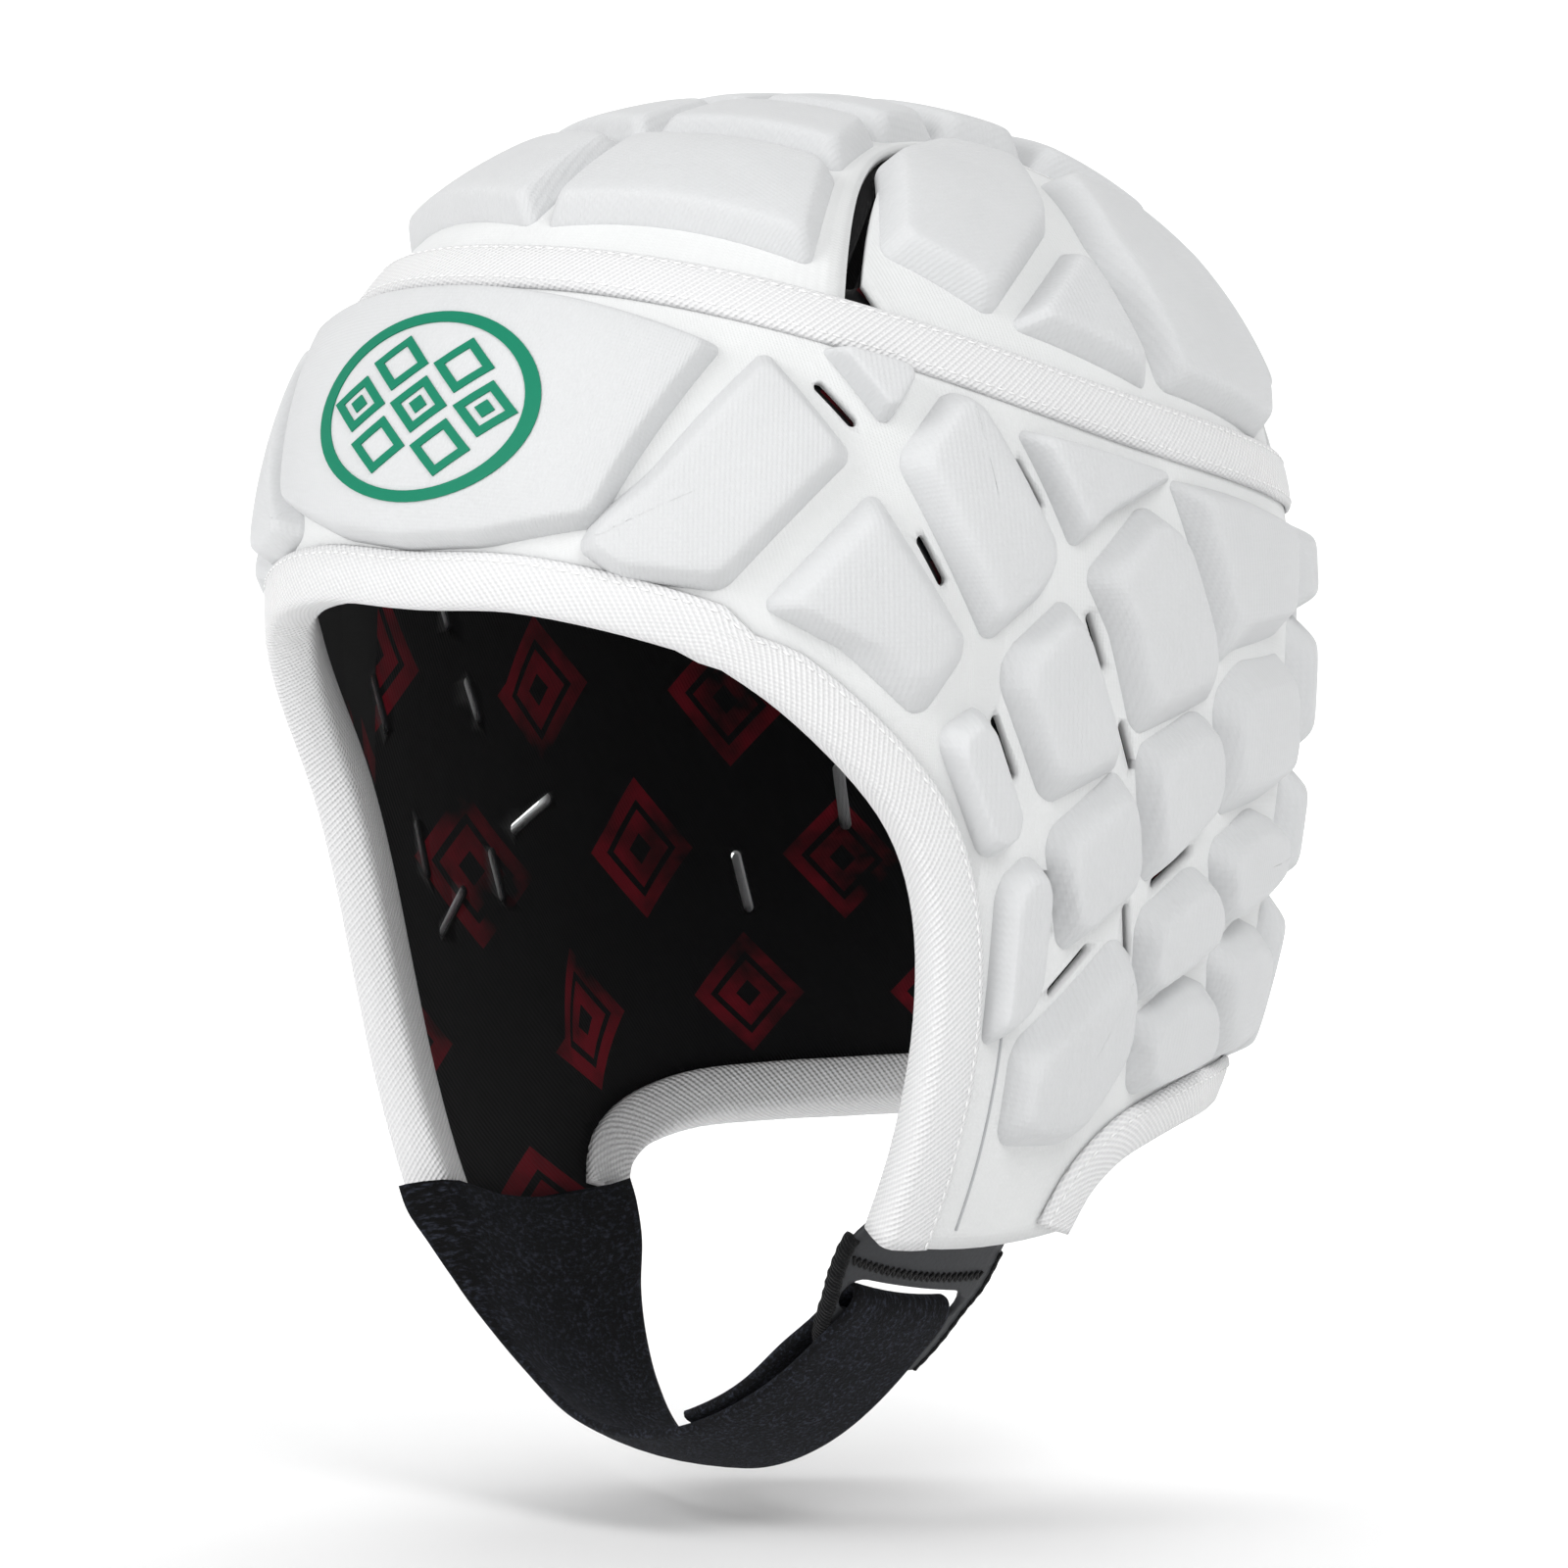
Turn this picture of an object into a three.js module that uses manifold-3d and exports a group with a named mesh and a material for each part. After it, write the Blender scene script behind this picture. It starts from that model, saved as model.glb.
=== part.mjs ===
// Rugby scrum cap, held in the shape it has when worn.
// Millimetres, +Z up. The wearer looks along -Y and the wearer's left is +X.
// The origin is the inside of the crown, where the top of the head touches the lining.
import * as THREE from "three";
import { mergeVertices } from "three/addons/utils/BufferGeometryUtils.js";
import Module from "manifold-3d";

const wasm = await Module();
wasm.setup();

// Head form: the surface that the lining touches
const HALF_WIDTH = 80;
const HALF_LENGTH = 101;
const DOME_HEIGHT = 90;
const LOWER_DEPTH = 160;
const FULLNESS = 2.25; // 2 is an ellipse, more is squarer
const BROADER_BACK = 0.05;
const NAPE_TUCK = 7;

// Cloth thicknesses and the spaces between the layers
const LINING_THICK = 1.1;
const LAYER_GAP = 1.1;
const SHELL_THICK = 2.1;
const CROWN_THICK = 1.8;
const PAD_HEIGHT = 5.4;
const PAD_SUNK = 1.3;
const TAPE_THICK = 1;
const TAPE_GAP = 0.5;
const BINDING_THICK = 1.1;
const BINDING_GAP = { outside: 0.9, inside: 2.2 };
const TAB_THICK = 1.4;
const TAB_GAP = 0.4;
const STRAP_THICK = 1.8;
const PIECE_GAP = 0.3;
const EDGE_GAP = 0.5;
const CUT_CLEAR = 1.9; // how far a cutter reaches past the cloth

// Layers, as distances out from the head form
const LINING = { inner: -0.5, outer: LINING_THICK - 0.5 };
const SHELL = { inner: LINING.outer + LAYER_GAP, outer: LINING.outer + LAYER_GAP + SHELL_THICK };
const CROWN = { inner: SHELL.outer - CROWN_THICK, outer: SHELL.outer };
const PAD = { sunk: SHELL.outer - PAD_SUNK, top: SHELL.outer + PAD_HEIGHT };
const TAPE = { inner: SHELL.outer + TAPE_GAP, outer: SHELL.outer + TAPE_GAP + TAPE_THICK };
const BINDING = { outside: SHELL.outer + BINDING_GAP.outside, inside: LINING.inner - BINDING_GAP.inside };
const BINDING_INNER_FACE = BINDING.inside - BINDING_THICK;
const TAB = { inner: BINDING_INNER_FACE - TAB_GAP - TAB_THICK, outer: BINDING_INNER_FACE - TAB_GAP };

// Tape ring round the crown, as angles above the level of the ears
const TAPE_FRONT_RISE = 44;
const TAPE_REAR_RISE = 11;
const TAPE_CURVE = 1.2;
const TAPE_HALF_WIDTH = 4.8;
const TAPE_STATIONS = 44;

// Central strip of the crown
const STRIP_FRONT_TURN = 55; // half its width where it meets the tape, in degrees round the head
const STRIP_REAR_TURN = 47;
const STRIP_WAIST = 20;
const STRIP_WAIST_BACK = 8;
const SLIT_WIDTH = 2.6;

// Pads
const PAD_CORNER = 3;
const PAD_SHARP_TURN = 70;
const PAD_TOP_INSET = 2.8;
const PAD_LONGEST_EDGE = 21;
const PAD_RING_STEP = 20;

// Vent slits cut through shell and lining
const VENT_WIDTH = 2.6;

// Binding folded over an edge
const BINDING_COVER = 8.4;
const BINDING_TURN = 1.7;
const BINDING_EDGE = { outer: 0.2, inner: 0.8, start: 1 }; // how far its fold is rounded

// The band, front to back along each side: where each column starts on the tape, in degrees round the
// head, and where it ends on the lower edge, in degrees forward and up from straight left.
const LEFT_COLUMNS = [
  { turn: 0, forward: 89.6, up: 7.8 },
  { turn: 10, forward: 74, up: 6.8 },
  { turn: 20, forward: 59.5, up: 3.2 },
  { turn: 30, forward: 46, up: -1.8 },
  { turn: 39, forward: 36, up: -6.8 },
  { turn: 47, forward: 28.5, up: -12 },
  { turn: 55, forward: 24.5, up: -18 },
  { turn: 62, forward: 22.8, up: -25.5 },
  { turn: 69, forward: 22.7, up: -34 },
  { turn: 75, forward: 23.4, up: -42 },
  { turn: 83, forward: 10, up: -42.5 },
  { turn: 91, forward: -2.5, up: -42 },
  { turn: 98, forward: -4.6, up: -38.2 },
  { turn: 106, forward: -10.5, up: -35.6 },
  { turn: 116, forward: -22, up: -34.4 },
  { turn: 127, forward: -35, up: -35.3 },
  { turn: 138, forward: -46.5, up: -38.3 },
  { turn: 149, forward: -56.5, up: -42.6 },
  { turn: 159, forward: -63, up: -46.5 },
  { turn: 169.5, forward: -68.5, up: -50 },
  { turn: 180, forward: -72.8, up: -52.9 },
];
const RIGHT_COLUMNS = [
  ...LEFT_COLUMNS.slice(0, 9),
  { turn: 75, forward: 23.4, up: -43 },
  { turn: 83, forward: 6, up: -44.8 },
  { turn: 91, forward: -12, up: -46 },
  { turn: 98, forward: -14.6, up: -42.8 },
  { turn: 106, forward: -20.5, up: -40.8 },
  { turn: 116, forward: -29, up: -40.2 },
  { turn: 127, forward: -39.3, up: -41.5 },
  { turn: 138, forward: -49, up: -43.8 },
  { turn: 149, forward: -57.5, up: -46.6 },
  { turn: 159, forward: -63.2, up: -48.9 },
  { turn: 169.5, forward: -68.5, up: -51.2 },
  { turn: 180, forward: -72.8, up: -52.9 },
];
const FLAP_FRONT_TURN = 75;
const FLAP_REAR_TURN = 91;
const PARALLEL_FROM_TURN = 50;
const PARALLEL_TO_TURN = 100;
const BAND_ROWS = 6;
const LINING_CROWN_ROWS = 4;

// Raised pads of one side: corners in degrees forward and up from straight left
const SIDE_PADS = {
  temple: [[40, 35], [34, 22], [49, 8], [60, 10], [64, 14], [62, 17], [55, 22]],
  cheekbone: [[44, 5.5], [32, 17], [23, 0], [28, -4]],
  sideburn: [[25, -6], [21, -4.5], [16, -12], [19.5, -13.5]],
  aboveEarFront: [[28, 21], [21, 28], [18, 27], [11, 10], [13, 6], [20, 1]],
  tapeTriangle: [[32.5, 34], [25, 30.5], [29, 26]],
  tapeCorner: [[12.5, 23], [8, 11], [5, 13.5], [-7, 17.5]],
  earTop: [[18, -2], [10, 4], [2, -8], [12, -10]],
  aboveEarRear: [[6, 7], [-3, 14], [-8, 11], [-14, -4], [-1, -6]],
  behindEarTop: [[-9, 16.5], [-15, -2], [-18.5, -1], [-31, -0.5], [-33, 11]],
  behindEar: [[-15.5, -5], [-20, -3.2], [-32, -3.2], [-34, -11], [-17, -12]],
  earRear: [[-2, -8], [-11, -6], [-14, -7], [-14.5, -12], [-4, -16]],
  ear: [[11, -13], [2, -9.5], [0, -11], [-1.5, -16.5], [8, -20]],
  jawFront: [[17, -16], [14, -14.5], [12, -15.5], [12, -23.5], [16.5, -26]],
  flap: [[12.5, -27], [0, -20.5], [-3, -22], [-4, -28], [2.5, -34], [12, -33.5]],
  lobe: [[-4, -19], [-12, -16.3], [-16, -17.5], [-17.5, -21], [-5, -24.2]],
  lobeRear: [[-16.5, -15], [-24, -13.2], [-33.5, -14.8], [-34, -18], [-19, -20]],
  napeFront: [[-5.5, -26.3], [-13, -23.8], [-19, -25], [-21.5, -29.5], [-7.5, -31]],
  napeSide: [[-19.5, -22.5], [-25, -20.8], [-35.5, -22.8], [-38, -30.3], [-24, -30]],
};

// Pads round the back of the head: degrees round from the front, and above the ears
const REAR_PADS = [
  { from: 127, to: 143.5, low: 0.6, high: 9 },
  { from: 127.5, to: 143.5, low: -8.8, high: -1 },
  { from: 128, to: 143.5, low: -17.2, high: -10.6 },
  { from: 129.5, to: 143.5, low: -29.3, high: -19 },
  { from: 146, to: 163, low: -3.4, high: 7.6 },
  { from: 146, to: 163, low: -14, high: -5.2 },
  { from: 146, to: 163, low: -22, high: -15.8 },
  { from: 146, to: 163, low: -29.4, high: -23.4 },
];
const BACK_MIDDLE_PADS = [
  { half: 14.4, low: 0, high: 7 },
  { half: 14.4, low: -9.6, high: -1.8 },
  { half: 14.4, low: -19, high: -11.4 },
  { half: 14.4, low: -31, high: -20.8 },
];

// The forehead pad crosses the middle: its left half, in degrees round from the front and up
const FOREHEAD_PAD = [
  [0, 40.2], [20, 38.2], [39, 32.6], [32.5, 23], [26, 20.5], [25, 13.5], [12, 11.6], [0, 11],
];

// Pads of the crown's side panel, in degrees forward and up from straight left
const CROWN_SIDE_PADS = {
  front: [[21, 47], [12, 38], [-5, 49.5], [-11, 60], [-1, 65.5], [11, 62.5]],
  middle: [[8.5, 36], [-5.5, 45], [-7.5, 28.5]],
  rear: [[-11, 28], [-11, 46.5], [-16, 58], [-25, 55.5], [-34.5, 42.5], [-36, 27], [-30, 21.6]],
};
const STRIP_PAD_ROWS = 6;
const STRIP_PAD_FROM = 0.05;
const STRIP_PAD_TO = 0.965;
const STRIP_PAD_SHARE = 0.84; // of each row, the rest is the groove
const STRIP_PAD_INNER = 0.05;
const STRIP_PAD_OUTER = 0.9;

// Vent slits of one side: ends in degrees forward and up from straight left
const SIDE_VENTS = [
  [[35, 30.5], [32.5, 26]], [[27, 12], [25, 7.5]], [[18.7, -5], [16.2, -8.6]], [[11.2, -15.4], [10.2, -19]],
  [[8.5, -23.2], [4, -20.6]], [[14, 20], [12, 15.4]], [[6, 1.6], [4, -2.2]], [[0.8, -6], [-1, -8.6]],
  [[-1.7, -18.2], [-2.8, -21.3]], [[-6, -16.6], [-12, -14.7]],
  [[-35, 6], [-36, 1.5]], [[-37.5, -20.5], [-38.5, -24.5]], [[-51, -15], [-51.5, -19.5]],
];

// Slot tab under the left flap and the chin strap, laid out by the angle from straight down toward the
// side, and by how far forward of that line they lie, as a share of the head's size. The strap's out is its
// distance out from the inner face of the binding.
const TAB_EDGES = [
  { aside: 47.5, front: 0.44, rear: -0.03 },
  { aside: 44, front: 0.42, rear: -0.01 },
  { aside: 40.2, front: 0.4, rear: 0.01 },
  { aside: 37.2, front: 0.385, rear: 0.03 },
  { aside: 33, front: 0.36, rear: 0.04 },
  { aside: 29, front: 0.3, rear: 0.05 },
];
const TAB_SLOT = { high: 40.2, low: 37.2, front: 0.345, rear: 0.075, round: 0.02 };
const TAB_EDGING = { width: 2.4, thick: 2 };
const STRAP_STATIONS = [
  { aside: -48, forward: 0.12, half: 0.29, out: -1.7 },
  { aside: -44, forward: 0.12, half: 0.29, out: -1.5 },
  { aside: -39, forward: 0.13, half: 0.28, out: -0.5 },
  { aside: -34, forward: 0.155, half: 0.26, out: 2 },
  { aside: -28, forward: 0.18, half: 0.23, out: 3.6 },
  { aside: -21, forward: 0.205, half: 0.195, out: 5 },
  { aside: -13, forward: 0.24, half: 0.17, out: 6 },
  { aside: -4, forward: 0.275, half: 0.157, out: 6.3 },
  { aside: 5, forward: 0.295, half: 0.15, out: 6 },
  { aside: 13, forward: 0.3, half: 0.147, out: 5.2 },
  { aside: 20, forward: 0.29, half: 0.143, out: 4.1 },
  { aside: 27, forward: 0.265, half: 0.138, out: 2.5 },
  { aside: 32.5, forward: 0.24, half: 0.135, out: 1.3 },
  { aside: 37, forward: 0.22, half: 0.13, out: 1.1 },
  { aside: 38.6, forward: 0.215, half: 0.128, out: 0 },
  { aside: 38.8, forward: 0.215, half: 0.128, out: -2 },
  { aside: 37.4, forward: 0.22, half: 0.13, out: -3.3 },
  { aside: 33, forward: 0.24, half: 0.135, out: -3.4 },
  { aside: 27, forward: 0.265, half: 0.138, out: -3.1 },
  { aside: 20, forward: 0.29, half: 0.143, out: 0.1 },
  { aside: 13, forward: 0.3, half: 0.147, out: 1.9 },
  { aside: 9, forward: 0.3, half: 0.147, out: 2.6 },
];

const UP = new THREE.Vector3(0, 0, 1);
const AHEAD = new THREE.Vector3(0, -1, 0);
const radians = THREE.MathUtils.degToRad;
const mix = THREE.MathUtils.lerp;

// A direction out of the middle of the head, from angles forward and up of straight left (side 1) or right (side -1)
function fromSide(forward, up, side = 1) {
  const angle = Math.hypot(forward, up);
  const share = angle > 0 ? Math.sin(radians(angle)) / angle : 0;
  return new THREE.Vector3(side * Math.cos(radians(angle)), -forward * share, up * share);
}

function toSide(direction, side) {
  const angle = THREE.MathUtils.radToDeg(Math.acos(side * direction.x));
  const share = angle / Math.sin(radians(angle));
  return { forward: -direction.y * share, up: direction.z * share };
}

// A direction from the turn round the head, 0 ahead and 90 to the left, and the rise above the ears
function fromFront(turn, rise) {
  const level = Math.cos(radians(rise));
  return new THREE.Vector3(
    Math.sin(radians(turn)) * level,
    -Math.cos(radians(turn)) * level,
    Math.sin(radians(rise)),
  );
}

// A direction below the head, from the angle aside of straight down and the share forward
function fromChin(aside, forward) {
  return new THREE.Vector3(Math.sin(radians(aside)), -forward, -Math.cos(radians(aside))).normalize();
}

function blend(a, b, share) {
  return a.clone().lerp(b, share).normalize();
}

function onHead(direction) {
  const power = FULLNESS;
  const sum = Math.abs(direction.x) ** power + Math.abs(direction.y) ** power + Math.abs(direction.z) ** power;
  const v = direction.clone().multiplyScalar(sum ** (-1 / power));
  const height = v.z * (v.z > 0 ? DOME_HEIGHT : LOWER_DEPTH);
  const below = Math.max(0, -height / 100);
  return new THREE.Vector3(
    HALF_WIDTH * v.x * (1 + BROADER_BACK * v.y),
    HALF_LENGTH * v.y - NAPE_TUCK * below ** 2 * Math.max(0, v.y),
    height - DOME_HEIGHT - LINING.inner,
  );
}

// Two directions across the view from the middle, and how the surface moves along each
function slopes(direction) {
  const step = 1e-3;
  const helper = Math.abs(direction.z) < 0.9 ? UP : AHEAD;
  const across = new THREE.Vector3().crossVectors(direction, helper).normalize();
  const along = new THREE.Vector3().crossVectors(across, direction).normalize();
  const rate = (way) => {
    const ahead = onHead(direction.clone().addScaledVector(way, step).normalize());
    const behind = onHead(direction.clone().addScaledVector(way, -step).normalize());
    return ahead.sub(behind).divideScalar(2 * step);
  };
  return { across, along, acrossRate: rate(across), alongRate: rate(along) };
}

function outward(direction) {
  const { acrossRate, alongRate } = slopes(direction);
  const normal = new THREE.Vector3().crossVectors(acrossRate, alongRate).normalize();
  return normal.dot(direction) < 0 ? normal.negate() : normal;
}

function place(direction, out) {
  return onHead(direction).addScaledVector(outward(direction), out);
}

// The direction reached after a move along the head form, given as a vector in mm
function slide(direction, move) {
  const { across, along, acrossRate, alongRate } = slopes(direction);
  const aa = acrossRate.dot(acrossRate);
  const ab = acrossRate.dot(alongRate);
  const bb = alongRate.dot(alongRate);
  const am = acrossRate.dot(move);
  const bm = alongRate.dot(move);
  const scale = 1 / (aa * bb - ab * ab);
  return direction.clone()
    .addScaledVector(across, (am * bb - bm * ab) * scale)
    .addScaledVector(along, (bm * aa - am * ab) * scale)
    .normalize();
}

// A closed solid from points and triangles, turned to face out
function solid(points, triangles) {
  const loose = new THREE.BufferGeometry().setFromPoints(points).setIndex(triangles.flat());
  const merged = mergeVertices(loose, 1e-3);
  const index = merged.index.array;
  const kept = triangles.map((_, t) => [index[3 * t], index[3 * t + 1], index[3 * t + 2]])
    .filter(([a, b, c]) => a !== b && b !== c && c !== a);
  const build = (list) => new wasm.Manifold(new wasm.Mesh({
    numProp: 3,
    vertProperties: merged.attributes.position.array,
    triVerts: new Uint32Array(list.flat()),
  }));
  const made = build(kept);
  return made.volume() > 0 ? made : build(kept.map(([a, b, c]) => [a, c, b]));
}

// A solid through rings of equal point counts. Each ring goes out along one face and back along the other.
function loft(rings, closed = false) {
  const count = rings[0].length;
  const points = rings.flat();
  const triangles = [];
  const spans = closed ? rings.length : rings.length - 1;
  for (let r = 0; r < spans; r++) {
    for (let i = 0; i < count; i++) {
      const a = r * count + i;
      const b = r * count + ((i + 1) % count);
      const c = ((r + 1) % rings.length) * count + i;
      const d = ((r + 1) % rings.length) * count + ((i + 1) % count);
      if (i < count / 2) triangles.push([a, b, d], [a, d, c]);
      else triangles.push([a, b, c], [b, d, c]);
    }
  }
  if (!closed) {
    const last = (rings.length - 1) * count;
    for (let i = 0; i < count / 2 - 1; i++) {
      const far = count - 1 - i;
      triangles.push([i, far, far - 1], [i, far - 1, i + 1]);
      triangles.push([last + i, last + far - 1, last + far], [last + i, last + i + 1, last + far - 1]);
    }
  }
  return solid(points, triangles);
}

function joined(solids) {
  return solids.reduce((whole, piece) => whole.add(piece));
}

// A sheet of even thickness over a grid of directions
function sheet(columns, layer, closed = false) {
  return loft(columns.map((column) => [
    ...column.map((direction) => place(direction, layer.outer)),
    ...column.toReversed().map((direction) => place(direction, layer.inner)),
  ]), closed);
}

function tapeRise(turn) {
  const share = ((1 + Math.cos(radians(turn))) / 2) ** TAPE_CURVE;
  return TAPE_REAR_RISE + (TAPE_FRONT_RISE - TAPE_REAR_RISE) * share;
}

function onTape(turn) {
  return fromFront(turn, tapeRise(turn));
}

// A place on the tape line moved down the head by a distance in mm
function besideTape(turn, down) {
  const ahead = place(onTape(turn + 1), 0).sub(place(onTape(turn - 1), 0)).normalize();
  const lower = new THREE.Vector3().crossVectors(ahead, outward(onTape(turn))).normalize();
  if (lower.z > 0) lower.negate();
  return slide(onTape(turn), lower.multiplyScalar(down));
}

// Columns of the whole band, from the middle of the forehead round by the left and back again
function bandColumns() {
  const left = LEFT_COLUMNS.map((c) => ({ turn: c.turn, foot: fromSide(c.forward, c.up, 1) }));
  const right = RIGHT_COLUMNS.slice(1, -1).toReversed()
    .map((c) => ({ turn: -c.turn, foot: fromSide(c.forward, c.up, -1) }));
  left[0].foot.x = 0;
  left.at(-1).foot.x = 0;
  return [...left, ...right];
}

// The way down from the tape to the lower edge. Beside the face opening it runs parallel to the edge.
function wayDown(top, foot, turn) {
  const shares = Array.from({ length: BAND_ROWS + 1 }, (_, row) => row / BAND_ROWS);
  const side = Math.sign(turn);
  const nearFace = Math.abs(turn) > PARALLEL_FROM_TURN && Math.abs(turn) < PARALLEL_TO_TURN;
  if (!nearFace) return shares.map((share) => blend(top, foot, share));
  const [from, to] = [toSide(top, side), toSide(foot, side)];
  return shares.map((share) => fromSide(mix(from.forward, to.forward, share), mix(from.up, to.up, share), side));
}

const COLUMNS = bandColumns();
const bandGrid = COLUMNS.map(({ turn, foot }) => wayDown(besideTape(turn, PIECE_GAP / 2), foot, turn));

// Sharp corners of a pad cut off, and long edges given more points so that they follow the head
function roundedOutline(corners) {
  const spots = corners.map((corner) => place(corner, 0));
  const cuts = corners.map((_, i) => {
    const arriving = spots[i].clone().sub(spots.at(i - 1));
    const leaving = spots[(i + 1) % spots.length].clone().sub(spots[i]);
    return arriving.angleTo(leaving) > radians(PAD_SHARP_TURN) ? PAD_CORNER : 0;
  });
  const outline = [];
  corners.forEach((corner, i) => {
    const j = (i + 1) % corners.length;
    const length = spots[i].distanceTo(spots[j]);
    const pieces = Math.ceil(length / PAD_LONGEST_EDGE);
    const first = Math.min(cuts[i] / length, 0.3);
    const last = 1 - Math.min(cuts[j] / length, 0.3);
    for (let p = 0; p <= pieces; p++) {
      if (p < pieces || cuts[j]) outline.push(blend(corner, corners[j], mix(first, last, p / pieces)));
    }
  });
  return outline.length % 2 ? [...outline, blend(outline.at(-1), outline[0], 0.5)] : outline;
}

// The outline moved inward along the head by a distance in mm
function inset(outline, distance) {
  return outline.map((corner, i) => {
    const here = place(corner, 0);
    const before = here.clone().sub(place(outline.at(i - 1), 0)).normalize();
    const after = place(outline[(i + 1) % outline.length], 0).sub(here).normalize();
    const normal = outward(corner);
    const first = new THREE.Vector3().crossVectors(normal, before);
    const second = new THREE.Vector3().crossVectors(normal, after);
    const move = first.add(second).multiplyScalar(distance / (1 + first.dot(second)));
    return slide(corner, move);
  });
}

function turnsLeft(corners) {
  const middle = corners.reduce((sum, c) => sum.add(c), new THREE.Vector3()).normalize();
  let area = 0;
  corners.forEach((c, i) => {
    area += new THREE.Vector3().crossVectors(c, corners[(i + 1) % corners.length]).dot(middle);
  });
  return area > 0;
}

// One raised foam pad: a foot sunk into the shell, a sloped wall and a top that follows the head
function pad(corners) {
  const ordered = turnsLeft(corners) ? corners : corners.toReversed();
  const foot = roundedOutline(ordered);
  const top = inset(foot, PAD_TOP_INSET);
  const middle = top.reduce((sum, c) => sum.add(c), new THREE.Vector3()).normalize();
  const reach = Math.max(...top.map((c) => place(c, 0).distanceTo(place(middle, 0))));
  const steps = Math.max(1, Math.round(reach / PAD_RING_STEP));
  const rings = [];
  for (let s = steps; s > 0; s--) rings.push(foot.map((c) => place(blend(c, middle, s / steps), PAD.sunk)));
  rings.push(foot.map((c) => place(c, PAD.sunk)));
  for (let s = 0; s <= steps; s++) rings.push(top.map((c) => place(blend(c, middle, s / steps), PAD.top)));
  return loft(rings);
}

// Cutters reach from inside the lining to outside the shell
const CUTTER = [LINING.inner - CUT_CLEAR, SHELL.outer + CUT_CLEAR];

// A cutter for one slit: a narrow four-sided hole right through the cloth
function vent([from, to]) {
  const start = place(from, 0);
  const ahead = place(to, 0).sub(start).normalize();
  const normal = outward(blend(from, to, 0.5));
  const aside = new THREE.Vector3().crossVectors(normal, ahead).multiplyScalar(VENT_WIDTH / 2);
  const other = aside.clone().negate();
  const outline = [slide(from, aside), slide(from, other), slide(to, other), slide(to, aside)];
  return loft(CUTTER.map((out) => outline.map((c) => place(c, out))));
}

const sides = [1, -1];
const sidePads = sides.flatMap((side) => [
  ...Object.values(SIDE_PADS).map((corners) => pad(corners.map(([f, u]) => fromSide(f, u, side)))),
  ...REAR_PADS.map(({ from, to, low, high }) => pad(
    [[from, high], [to, high], [to, low], [from, low]].map(([turn, rise]) => fromFront(side * turn, rise)),
  )),
]);
const middlePads = BACK_MIDDLE_PADS.map(({ half, low, high }) => pad(
  [[180 - half, high], [180 + half, high], [180 + half, low], [180 - half, low]]
    .map(([turn, rise]) => fromFront(turn, rise)),
));
const foreheadPad = pad([
  ...FOREHEAD_PAD.map(([turn, rise]) => fromFront(turn, rise)),
  ...FOREHEAD_PAD.slice(1, -1).toReversed().map(([turn, rise]) => fromFront(-turn, rise)),
]);
const vents = joined(sides.flatMap((side) =>
  SIDE_VENTS.map((ends) => vent(ends.map(([f, u]) => fromSide(f, u, side))))));

const paddedBand = joined([sheet(bandGrid, SHELL, true), ...sidePads, ...middlePads, foreheadPad])
  .subtract(vents);

// A place on the crown: across from -1 to 1 is the strip, and along goes from the front tape to the rear
function onCrown(across, along) {
  const front = besideTape(STRIP_FRONT_TURN * across, -PIECE_GAP / 2);
  const rear = besideTape(180 - STRIP_REAR_TURN * across, -PIECE_GAP / 2);
  const waist = new THREE.Vector3(
    Math.sin(radians(STRIP_WAIST * across)),
    Math.sin(radians(STRIP_WAIST_BACK)),
    Math.cos(radians(STRIP_WAIST_BACK)) * Math.cos(radians(STRIP_WAIST * across)),
  ).normalize();
  const bend = waist.multiplyScalar(2).sub(front.clone().add(rear).multiplyScalar(0.5));
  return front.multiplyScalar((1 - along) ** 2)
    .addScaledVector(bend, 2 * along * (1 - along))
    .addScaledVector(rear, along ** 2)
    .normalize();
}

const STRIP_COLUMNS = [-1, -0.75, -0.5, -0.25, 0, 0.25, 0.5, 0.75, 1];
const STRIP_ROWS = 13;
const stripGrid = STRIP_COLUMNS.map((across) =>
  Array.from({ length: STRIP_ROWS + 1 }, (_, row) => onCrown(across, row / STRIP_ROWS)));

function stripPad(side, row) {
  const pitch = (STRIP_PAD_TO - STRIP_PAD_FROM) / STRIP_PAD_ROWS;
  const from = STRIP_PAD_FROM + row * pitch;
  const to = from + pitch * STRIP_PAD_SHARE;
  return pad([
    onCrown(side * STRIP_PAD_INNER, from), onCrown(side * STRIP_PAD_OUTER, from),
    onCrown(side * STRIP_PAD_OUTER, to), onCrown(side * STRIP_PAD_INNER, to),
  ]);
}
const stripRows = Array.from({ length: STRIP_PAD_ROWS }, (_, row) => row);
const stripPads = sides.flatMap((side) => stripRows.map((row) => stripPad(side, row)));
const crownStrip = joined([sheet(stripGrid, CROWN), ...stripPads]);

// A place beside the strip's edge, a distance in mm away from it
function besideStrip(side, along, distance) {
  const ahead = place(onCrown(side, along + 0.01), 0).sub(place(onCrown(side, along - 0.01), 0)).normalize();
  const away = new THREE.Vector3().crossVectors(ahead, outward(onCrown(side, along)));
  return slide(onCrown(side, along), away.multiplyScalar(side * distance));
}

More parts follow.
